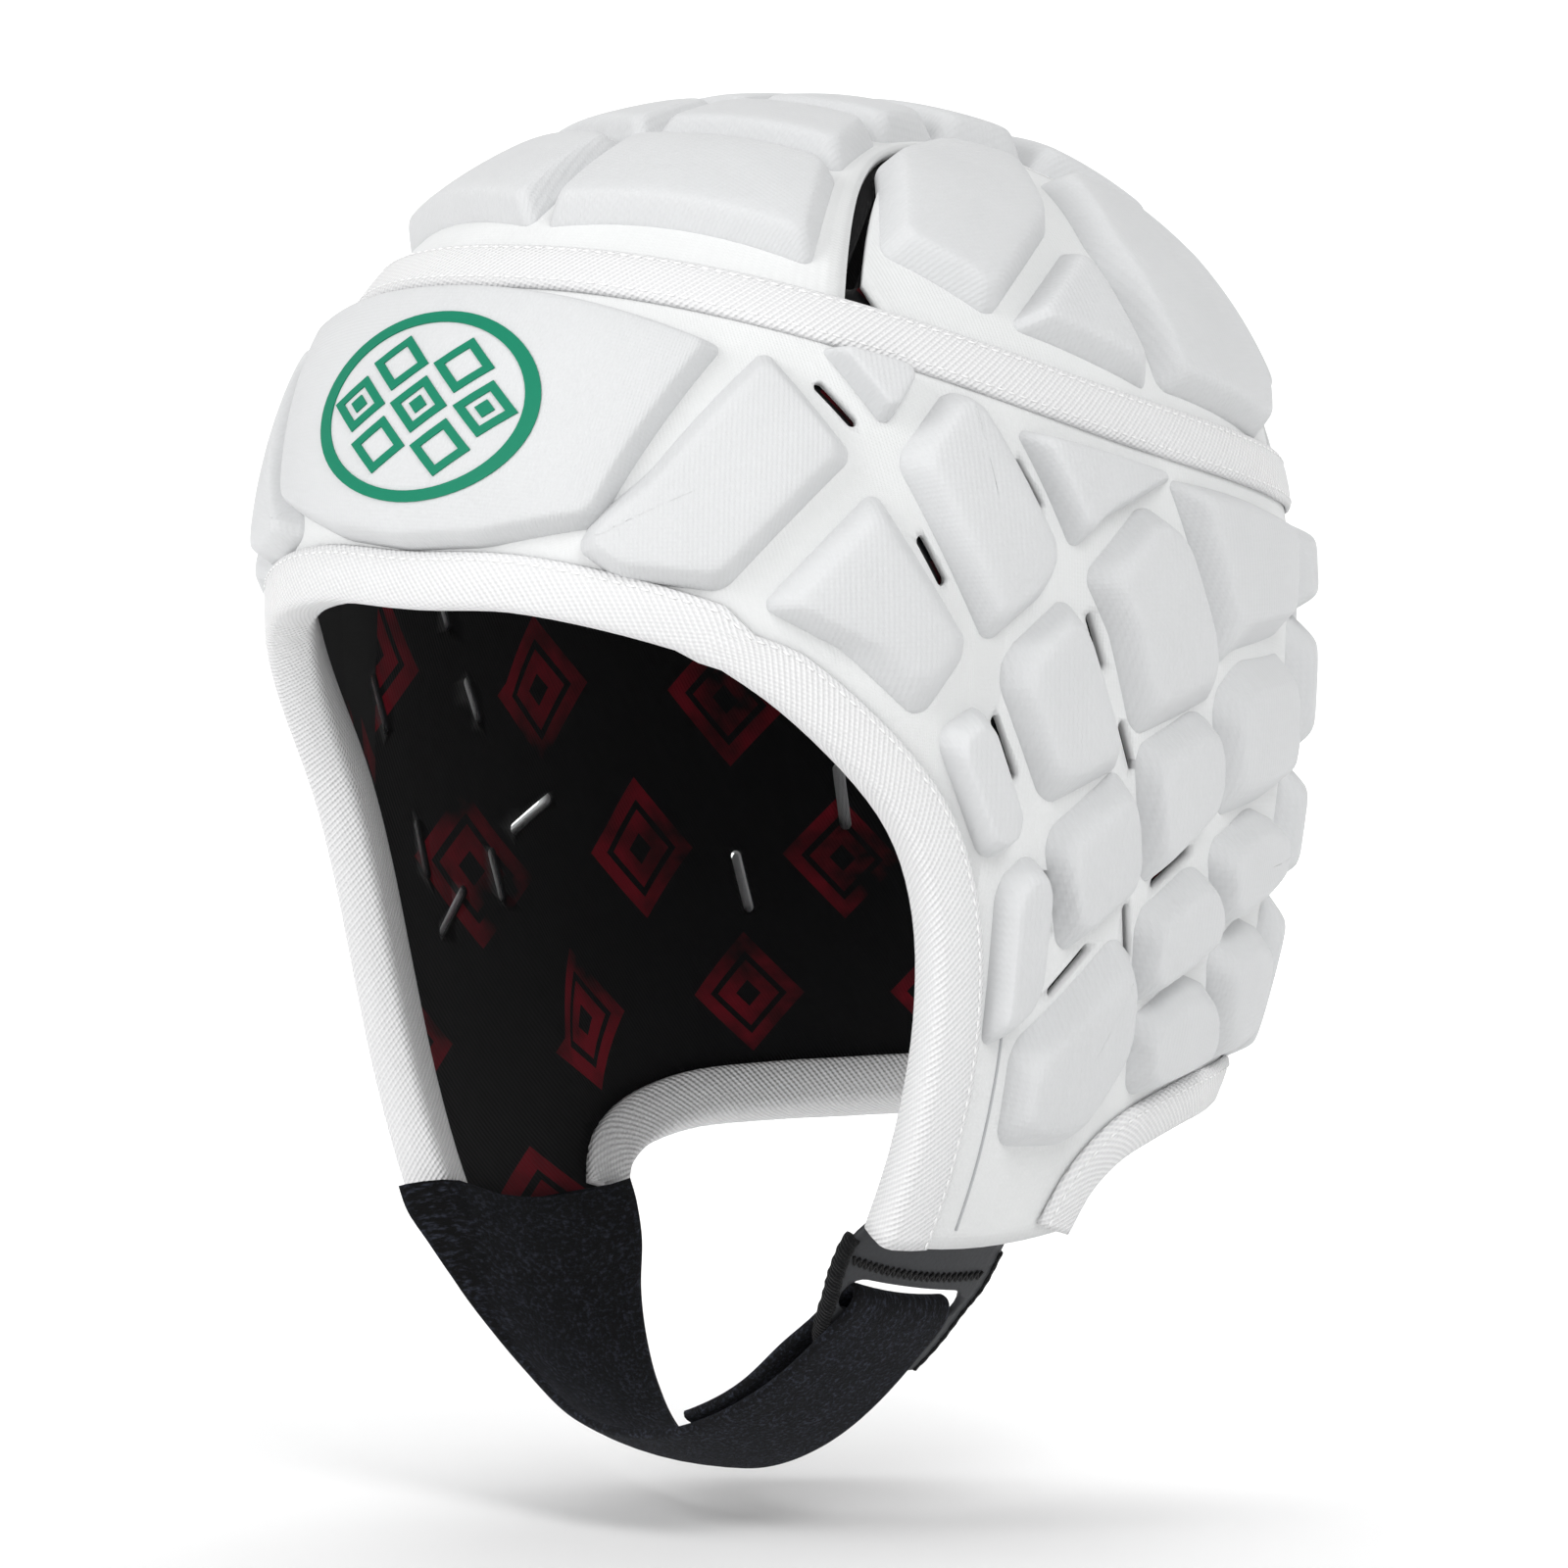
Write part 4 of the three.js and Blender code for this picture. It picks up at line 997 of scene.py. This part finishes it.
band_part = band_ways(BAND_ROWS)
pole = np.broadcast_to([0, 0, 1.0], (len(band_part), 1, 3))
down = np.broadcast_to(np.linspace(0, 1, CROWN_ROWS + 1), (len(band_part), CROWN_ROWS + 1))
crown_part = between(pole, band_part[:, :1], down)
lining_ways = np.concatenate([crown_part[:, :-1], band_part], axis=1)
lining_sheet = sheet_between(lining_ways, LINING_IN, LINING_OUT, ring=True)
lining_cutters = vents(VENT_WIDTH)
for side in (1, -1):
    for start, end in CROWN_SLITS:
        ends = beside_strip(side, np.array([start, end]), SLIT_WIDTH / 2)
        slit_cutter(lining_cutters, *ends, SLIT_WIDTH * CROWN_SLIT_SHARE)
lining_bm = cut_away(lining_sheet, lining_cutters, "lining")
lining = finished(lining_bm, "lining_cloth", [black_knit], nodes=["lining"])

# %% [markdown]
# ## Brushed webbing
# The face of the strap is a pile of tiny loops, all black. A fine noise makes the tufts, and the ends
# of the tufts catch the light, so they are drawn in a paler, bluish black.

# %% Strap material
PILE_DEPTH_MM = 0.9

webbing, tree, shader = cloth_material("black_brushed_nylon_webbing", 0.93, 0.1)
shader.inputs["Sheen Roughness"].default_value = 0.4
shader.inputs["Sheen Tint"].default_value = colour("#707890")
uv = cloth_axes(tree)[0]
patch = noise(tree, uv, 0.25, 2.0)
tufts = maths(tree, "ADD", noise(tree, uv, 1.2, 5.0, 0.7), maths(tree, "MULTIPLY", patch, 0.2))
bumped(tree, shader, tufts, PILE_DEPTH_MM)
two_toned(tree, shader, spread(tree, tufts, 0.6, 0.78), "#030304", "#343844")
print("relief of the pile:", PILE_DEPTH_MM, "mm")

# %% [markdown]
# ## Chin strap
# The strap is black webbing with a brushed pile on its outer face. It is sewn to the right flap, where
# it is widest, runs under the chin, goes in through the slot of the tab on the left and is folded back
# on itself. The table follows it, and the line between its stations is smoothed.

# %% Strap
# Inner face of the binding, in millimetres out from the head form. The strap's distances start here.
BINDING_FACE = -3.8
# The first rows curl round the flap: millimetres that their front edge comes out
STRAP_CURLS = [8.5, 8.5, 6.5, 3.5, 1.2]
# Share of the half width at which the curl starts
CURL_FROM = 0.7
# Each row: degrees aside of straight down, share forward, half width as a share, distance out
STRAP_STATIONS = np.array([
    (-44.5, 0.155, 0.345, -1.7), (-42, 0.155, 0.34, -1.5), (-38.5, 0.155, 0.32, -0.5), (-34, 0.16, 0.28, 2),
    (-28, 0.18, 0.24, 3.6), (-21, 0.205, 0.2, 5), (-13, 0.24, 0.175, 6), (-4, 0.275, 0.16, 6.3),
    (5, 0.295, 0.15, 6), (13, 0.3, 0.147, 5.2), (20, 0.29, 0.143, 4.1), (27, 0.265, 0.138, 2.5),
    (32.5, 0.24, 0.135, 1.3), (37, 0.22, 0.13, 1.1), (38.6, 0.215, 0.128, 0), (38.8, 0.215, 0.128, -2),
    (37.4, 0.22, 0.13, -3.3), (33, 0.24, 0.135, -3.4), (27, 0.265, 0.138, -3.1), (20, 0.29, 0.143, 0.1),
    (13, 0.3, 0.147, 1.9), (9, 0.3, 0.147, 2.6),
], float)
STRAP_FINE = 9
STRAP_THICK = 1.8
# Section of the strap: shares across of its flat faces, then its round edges with their thickness
STRAP_FLATS = [-0.93, -0.75, -0.5, -0.25, 0, 0.25, 0.5, 0.75, 0.85, 0.93]
STRAP_EDGE = [(0.985, 0.34), (1.0, 0.0), (0.985, -0.34)]
STRAP_SECTION = [(-1.0, 0.0), (-0.985, 0.34)] + [(w, 0.5) for w in STRAP_FLATS] + STRAP_EDGE
STRAP_SECTION += [(w, -0.5) for w in STRAP_FLATS[::-1]] + [(-0.985, -0.34)]

curls = np.zeros(len(STRAP_STATIONS))
curls[: len(STRAP_CURLS)] = STRAP_CURLS
aside, forward, half_share, out, curl = smoothed(np.column_stack([STRAP_STATIONS, curls]), STRAP_FINE).T
rear_line, centre_line, front_line = (
    place(from_chin(aside, forward + k * half_share), BINDING_FACE + out) for k in (-1, 0, 1)
)
ahead = unit(np.gradient(centre_line, axis=0))
face_way = unit(np.cross(unit(front_line - rear_line), ahead))
bow = (front_line + rear_line) / 2 - centre_line
edge_way = outward(from_chin(aside, forward + half_share)) * curl[:, None]
rows = [
    centre_line + (front_line - rear_line) / 2 * w + bow * w * w + face_way * t * STRAP_THICK
    + edge_way * max(0, (w - CURL_FROM) / (1 - CURL_FROM)) ** 2
    for w, t in STRAP_SECTION
]
strap_bm = closed_ends(wrapped(np.stack(rows + rows[:1], axis=1), tube=True))
strap = finished(strap_bm, "chin_strap_webbing", [webbing], nodes=["chin_strap"])

# %% [markdown]
# ## Slot tab
# Under the left flap hangs a tab of smooth coated cloth with a slot cut through it. Its front edge is
# covered by a thick black overlock and its rear edge by a thin one. A zigzag of black thread holds its
# upper edge. The tab is a small sheet, and the slot is taken away with the same box as the vents.

# %% Tab
TAB_IN, TAB_OUT = -5.6, -4.2
# Each row: degrees aside of straight down, share forward of the front edge and of the rear edge
TAB_EDGES = np.array([
    (46, 0.37, 0.0), (43.5, 0.4, 0.005), (40.2, 0.4, 0.01), (37.2, 0.385, 0.03), (33, 0.36, 0.04),
    (29, 0.3, 0.05),
])
# The slot: degrees aside of straight down, shares forward of its two ends, and its width
SLOT_ASIDE = 38.7
SLOT_ENDS = (0.065 + 0.03, 0.355 - 0.03)
SLOT_WIDTH = 7.6
TAB_FINE = 6
TAB_COLUMNS = 16
GRAIN_DEPTH_MM = 0.08

coated, tree, shader = cloth_material("grey_polyurethane_coated_cloth", 0.55, 0.0)
grain = noise(tree, cloth_axes(tree)[0], 1.2, 4.0)
bumped(tree, shader, grain, GRAIN_DEPTH_MM)
two_toned(tree, shader, grain, "#343537", "#3F4043")

edge_rows = smoothed(TAB_EDGES, TAB_FINE)
share = np.linspace(0, 1, TAB_COLUMNS + 1)
forward = edge_rows[:, 1:2] + (edge_rows[:, 2:3] - edge_rows[:, 1:2]) * share
tab_ways = from_chin(edge_rows[:, :1], forward)
tab_bm = sheet_between(tab_ways, TAB_IN, TAB_OUT)
slot_bm = bmesh.new()
slit_cutter(slot_bm, *(from_chin(SLOT_ASIDE, end) for end in SLOT_ENDS), SLOT_WIDTH)
tab_bm = cut_away(tab_bm, slot_bm, "tab")
tab = finished(tab_bm, "slot_tab_cloth", [coated], nodes=["slot_tab"])

# %% [markdown]
# ## Overlocked edges
# Thread is what makes sewn things look sewn. An overlock wraps the raw edge of the tab in many turns of
# fluffy thread, so it is drawn as a round cord that swells a little, with the twist as a relief.

# %% Overlock
TWIST_MM = 0.8
OVERLOCK_DEPTH_MM = 0.3
# The overlock starts this many rows below the tab's top edge, and stands this far off its side edge
OVERLOCK_FIRST_ROW = 5
OVERLOCK_OFF = 0.3
OVERLOCK_SIDES = 12
# How much the cord swells and shrinks along its way, and radians from one station to the next
SWELL, SWELL_STEP = 0.06, 1.3

overlock, tree, shader = cloth_material("black_woolly_overlock_thread", 0.95, 0.05, "#060608")
uv, x, y = cloth_axes(tree)
twist = waves(tree, maths(tree, "ADD", x, maths(tree, "MULTIPLY", y, 0.5)), TWIST_MM)
fuzzy = maths(tree, "ADD", maths(tree, "MULTIPLY", twist, 0.4), noise(tree, uv, 2.5, 4.0))
bumped(tree, shader, fuzzy, OVERLOCK_DEPTH_MM)


def edging(column, way, radius, name):
    lower_rows = edge_rows[OVERLOCK_FIRST_ROW:]
    ways = from_chin(lower_rows[:, 0], lower_rows[:, column])
    away = np.broadcast_to([0, -way, 0.0], ways.shape)
    line = smoothed(place(slide(ways, away * OVERLOCK_OFF), (TAB_IN + TAB_OUT) / 2), 2)
    ahead = unit(np.gradient(line, axis=0))
    side = unit(np.cross(ahead, [0, 1.0, 0.2]))
    over = np.cross(ahead, side)
    turns = np.linspace(0, 2 * pi, OVERLOCK_SIDES + 1)
    swell = 1 + SWELL * np.sin(np.arange(len(line)) * SWELL_STEP)
    rows = [line + (side * cos(t) + over * sin(t)) * (radius * swell)[:, None] for t in turns]
    bm = closed_ends(wrapped(np.stack(rows, axis=1), tube=True))
    return finished(bm, name + "_overlock", [overlock], nodes=[name])


edging(1, 1, 1.6, "tab_edging_front")
edging(2, -1, 1.0, "tab_edging_rear")

# %% [markdown]
# ## Zigzag and flap seam
# The zigzag that holds the tab's upper edge is a thin tube that turns at each needle hole. The seam inside
# the
# near flap shows only as a fine line: a thinner tube half sunk in the knit, coloured pale grey as painted
# shade of its crease.

# %% Zigzag and flap seam
ZIGZAG_STEPS = 46
ZIGZAG_FINE = 4
ZIGZAG_RADIUS = 0.36
# Millimetres over the tab's face, degrees aside of its upper holes, degrees down to the lower ones
ZIGZAG_OVER = 0.2
ZIGZAG_ASIDE = 42.3
ZIGZAG_HEIGHT = 0.8
# Where it starts and ends, as shares forward
ZIGZAG_ENDS = (0.3844, 0.0334)
TUBE_SIDES = 6
FLAP_SEAM_IN = 14.5
FLAP_SEAM_RADIUS = 0.3
# The stretch of the face line that the flap seam follows, and how it is smoothed
FLAP_SEAM_SPAN = slice(1, 11)
FLAP_SEAM_FINE = 3

black_thread = cloth_material("black_polyester_thread", 0.6, 0.1, "#050506")[0]
# Pale grey, darker than the knit: painted shade of the crease along the flap seam
crease_shade_grey = cloth_material("pale_grey_painted_crease_shade", 0.8, 0.1, "#B4B6B8")[0]


def thread_tube(points, radius, name, material):
    ahead = unit(np.gradient(points, axis=0))
    side = unit(np.cross(ahead, unit(points - MIDDLE)))
    over = np.cross(side, ahead)
    turns = np.linspace(0, 2 * pi, TUBE_SIDES + 1)
    rows = [points + (side * cos(t) + over * sin(t)) * radius for t in turns]
    return finished(closed_ends(wrapped(np.stack(rows, axis=1), tube=True)), name, [material])


zig = np.arange(ZIGZAG_STEPS * ZIGZAG_FINE + 1) / ZIGZAG_FINE
zig_aside = ZIGZAG_ASIDE - ZIGZAG_HEIGHT * np.abs((zig + 1) % 2 - 1)
zig_forward = ZIGZAG_ENDS[0] + (ZIGZAG_ENDS[1] - ZIGZAG_ENDS[0]) * zig / ZIGZAG_STEPS
zig_line = place(from_chin(zig_aside, zig_forward), TAB_OUT + ZIGZAG_OVER)
thread_tube(zig_line, ZIGZAG_RADIUS, "tab_zigzag", black_thread)
seam_line = place(beside(face_ways, FLAP_SEAM_IN)[FLAP_SEAM_SPAN], SHELL_OUT + 0.02)
thread_tube(smoothed(seam_line, FLAP_SEAM_FINE), FLAP_SEAM_RADIUS, "flap_seam", crease_shade_grey)

# %% [markdown]
# ## Rows of white stitches
# Each stitch of the tape and of the bindings is a small bead of thread. There are hundreds, so one bead
# is made with the sphere operator, and copies of its few corners are turned along the line.

# %% Stitches
STITCH_MM = 2.6
# Length, width and thickness of a bead, and the bare stretch at both ends of a row
STITCH_SIZE = (1.9, 0.42, 0.3)
STITCH_SKIP = 1.0
# Millimetres from the middle of the tape and from the binding's edge, and millimetres out
TAPE_STITCH_ASIDE, TAPE_STITCH_OUT = 3.6, 5.34
BINDING_STITCH_IN, BINDING_STITCH_OUT = 7.2, OUT + THICK + 0.04

thread_white = cloth_material("white_polyester_thread", 0.6, 0.1, "#F4F4F4")[0]


def stitches(line, out, name):
    spots = place(line, out)
    steps = walked(spots)
    at = np.arange(STITCH_SKIP, steps[-1] - STITCH_SKIP, STITCH_MM)
    where = np.stack([np.interp(at, steps, spots[:, k]) for k in range(3)], axis=-1)
    ahead = unit(np.stack([np.interp(at + 0.5, steps, spots[:, k]) for k in range(3)], axis=-1) - where)
    normals = outward(line)
    up = np.stack([np.interp(at, steps, normals[:, k]) for k in range(3)], axis=-1)
    aside = unit(np.cross(up, ahead))
    long, wide, high = STITCH_SIZE
    turn = np.stack([ahead * long, aside * wide, np.cross(ahead, aside) * high], axis=1)
    bead = bmesh.new()
    bmesh.ops.create_uvsphere(bead, u_segments=6, v_segments=4, radius=0.5)
    bead.verts.index_update()
    corners = np.array([v.co for v in bead.verts])
    sides = [[v.index for v in face.verts] for face in bead.faces]
    bead.free()
    beads = (np.einsum("ka,nab->nkb", corners, turn) + where[:, None]).reshape(-1, 3) * MM
    mesh = bpy.data.meshes.new(name)
    faces = [[index + n * len(corners) for index in side] for n in range(len(where)) for side in sides]
    mesh.from_pydata(beads.tolist(), [], faces)
    bm = bmesh.new()
    bm.from_mesh(mesh)
    bpy.data.meshes.remove(mesh)
    bmesh.ops.recalc_face_normals(bm, faces=bm.faces)
    return finished(bm, name, [thread_white])


for side, word in ((1, "lower"), (-1, "upper")):
    row_line = beside_tape(ring_turns, side * TAPE_STITCH_ASIDE)
    stitches(row_line, TAPE_STITCH_OUT, f"crown_tape_{word}_stitches")
stitches(beside(face_ways, BINDING_STITCH_IN), BINDING_STITCH_OUT, "face_binding_stitches")
stitches(beside(nape_ways, BINDING_STITCH_IN), BINDING_STITCH_OUT, "nape_binding_stitches")

# %% [markdown]
# ## A mark on the forehead
# The forehead pad carries a printed mark. This one is a plain design of no maker: a ring round a
# lattice of lozenges. Its shapes are drawn flat, thickened a little and laid on the pad.

# %% Forehead mark
MARK_RISE = 25.5
MARK_OUT = SHELL_OUT + PAD_TOP + 0.05
MARK_THICK = 0.25
LOZENGE_SPOTS = [(0, 0), (-14, 0), (14, 0), (-7, 7.2), (7, 7.2), (-7, -7.2), (7, -7.2)]
# Each row: sides, half width, half height, share left open inside, then the middle's place
MARK_SHAPES = [(72, 24.0, 17.0, 0.88, 0, 0)]
MARK_SHAPES += [(4, 6.4, 5.0, 0.62, x, y) for x, y in LOZENGE_SPOTS]
MARK_SHAPES += [(4, 2.0, 1.6, 0, x, y) for x, y in LOZENGE_SPOTS[:3]]
green_ink = cloth_material("green_screen_print", 0.6, 0.0, "#007A5C")[0]

mark_bm = bmesh.new()
for sides, wide, high, open_share, x, y in MARK_SHAPES:
    made = bmesh.ops.create_circle(mark_bm, segments=sides, radius=1, cap_ends=open_share == 0)["verts"]
    bmesh.ops.scale(mark_bm, vec=(wide, high, 1), verts=made)
    if open_share:
        loop = list({e for v in made for e in v.link_edges})
        inner = bmesh.ops.extrude_edge_only(mark_bm, edges=loop)["geom"]
        inner = [v for v in inner if isinstance(v, bmesh.types.BMVert)]
        bmesh.ops.scale(mark_bm, vec=(open_share, open_share, 1), verts=inner)
        made = made + inner
    bmesh.ops.translate(mark_bm, vec=(x, y, 0), verts=made)
bmesh.ops.subdivide_edges(mark_bm, edges=mark_bm.edges, cuts=1, use_grid_fill=True)

mark_centre = from_front(0.0, MARK_RISE)
mark_up = unit(np.array([0, 0, 1.0]) - mark_centre * mark_centre[2])
mark_right = np.cross(mark_up, mark_centre)
for vert in mark_bm.verts:
    way = slide(mark_centre, mark_right * vert.co.x + mark_up * vert.co.y)
    vert.co = place(way, MARK_OUT) * MM
bmesh.ops.recalc_face_normals(mark_bm, faces=mark_bm.faces)
for face in mark_bm.faces:
    if face.normal.dot(Vector(mark_centre)) < 0:
        face.normal_flip()
mark_sheet = as_object(mark_bm, "mark_sheet")
thick = mark_sheet.modifiers.new("thickness", "SOLIDIFY")
thick.thickness = MARK_THICK * MM
thick.offset = 1
finished(evaluated(mark_sheet), "forehead_mark", [green_ink], smooth=False)

# %% [markdown]
# ## Studio
# The cap hangs over a pale floor that sweeps up all round it, so that no horizon shows. A large
# soft lamp at the camera's right draws the pads, a second one fills from the front, and a third lights
# the sweep. The sweep is a short profile spun once round the cap.

# %% Floor and light
FLOOR_Z = -0.262
SWEEP_RADIUS, SWEEP_BEND, SWEEP_HEIGHT = 3.2, 0.7, 1.2
BEND_STEPS = 12
SWEEP_STEPS = 96

floor_bm = bmesh.new()
profile = [(0.0, 0.0), (SWEEP_RADIUS - SWEEP_BEND, 0.0)]
for step in range(1, BEND_STEPS + 1):
    bend = step / BEND_STEPS * pi / 2
    profile.append((SWEEP_RADIUS - SWEEP_BEND * (1 - sin(bend)), SWEEP_BEND * (1 - cos(bend))))
profile.append((SWEEP_RADIUS, SWEEP_HEIGHT))
line = [floor_bm.verts.new((x, 0, z + FLOOR_Z)) for x, z in profile]
edges = [floor_bm.edges.new(pair) for pair in zip(line, line[1:])]
bmesh.ops.spin(
    floor_bm, geom=line + edges, cent=(0, 0, 0), axis=(0, 0, 1), angle=2 * pi, steps=SWEEP_STEPS
)
bmesh.ops.remove_doubles(floor_bm, verts=floor_bm.verts, dist=1e-5)
for face in floor_bm.faces:
    face.smooth = True
    if face.normal.z < -0.01:
        face.normal_flip()
floor = as_object(floor_bm, "studio_floor")
floor_material = bpy.data.materials.new("matt_white_paint")
floor_material.use_nodes = True
paint = floor_material.node_tree.nodes["Principled BSDF"]
paint.inputs["Base Color"].default_value = colour("#FAFAFA")
paint.inputs["Roughness"].default_value = 0.9
floor.data.materials.append(floor_material)

world = bpy.data.worlds.new("soft_studio")
bpy.context.scene.world = world
world.use_nodes = True
world.node_tree.nodes["Background"].inputs["Color"].default_value = (1, 1, 1, 1)
world.node_tree.nodes["Background"].inputs["Strength"].default_value = 0.58
bpy.context.scene.view_settings.view_transform = "Standard"
# Each row: name, place, what it looks at, size, watts
LIGHTS = [
    ("key_light", (1.3, -0.5, 1.1), (0, 0, -0.1), 0.7, 12),
    ("front_light", (-0.3, -1.7, 0.7), (0, 0, -0.1), 1.0, 16.0),
    ("sweep_light", (-0.6, 0.75, 1.1), (-1.5, 1.8, -0.2), 1.0, 34),
]
for name, spot, aim, size, power in LIGHTS:
    lamp = bpy.data.lights.new(name, "AREA")
    lamp.size = size
    lamp.energy = power
    light = bpy.data.objects.new(name, lamp)
    bpy.context.scene.collection.objects.link(light)
    light.matrix_world = look_at(Vector(spot), Vector(aim))
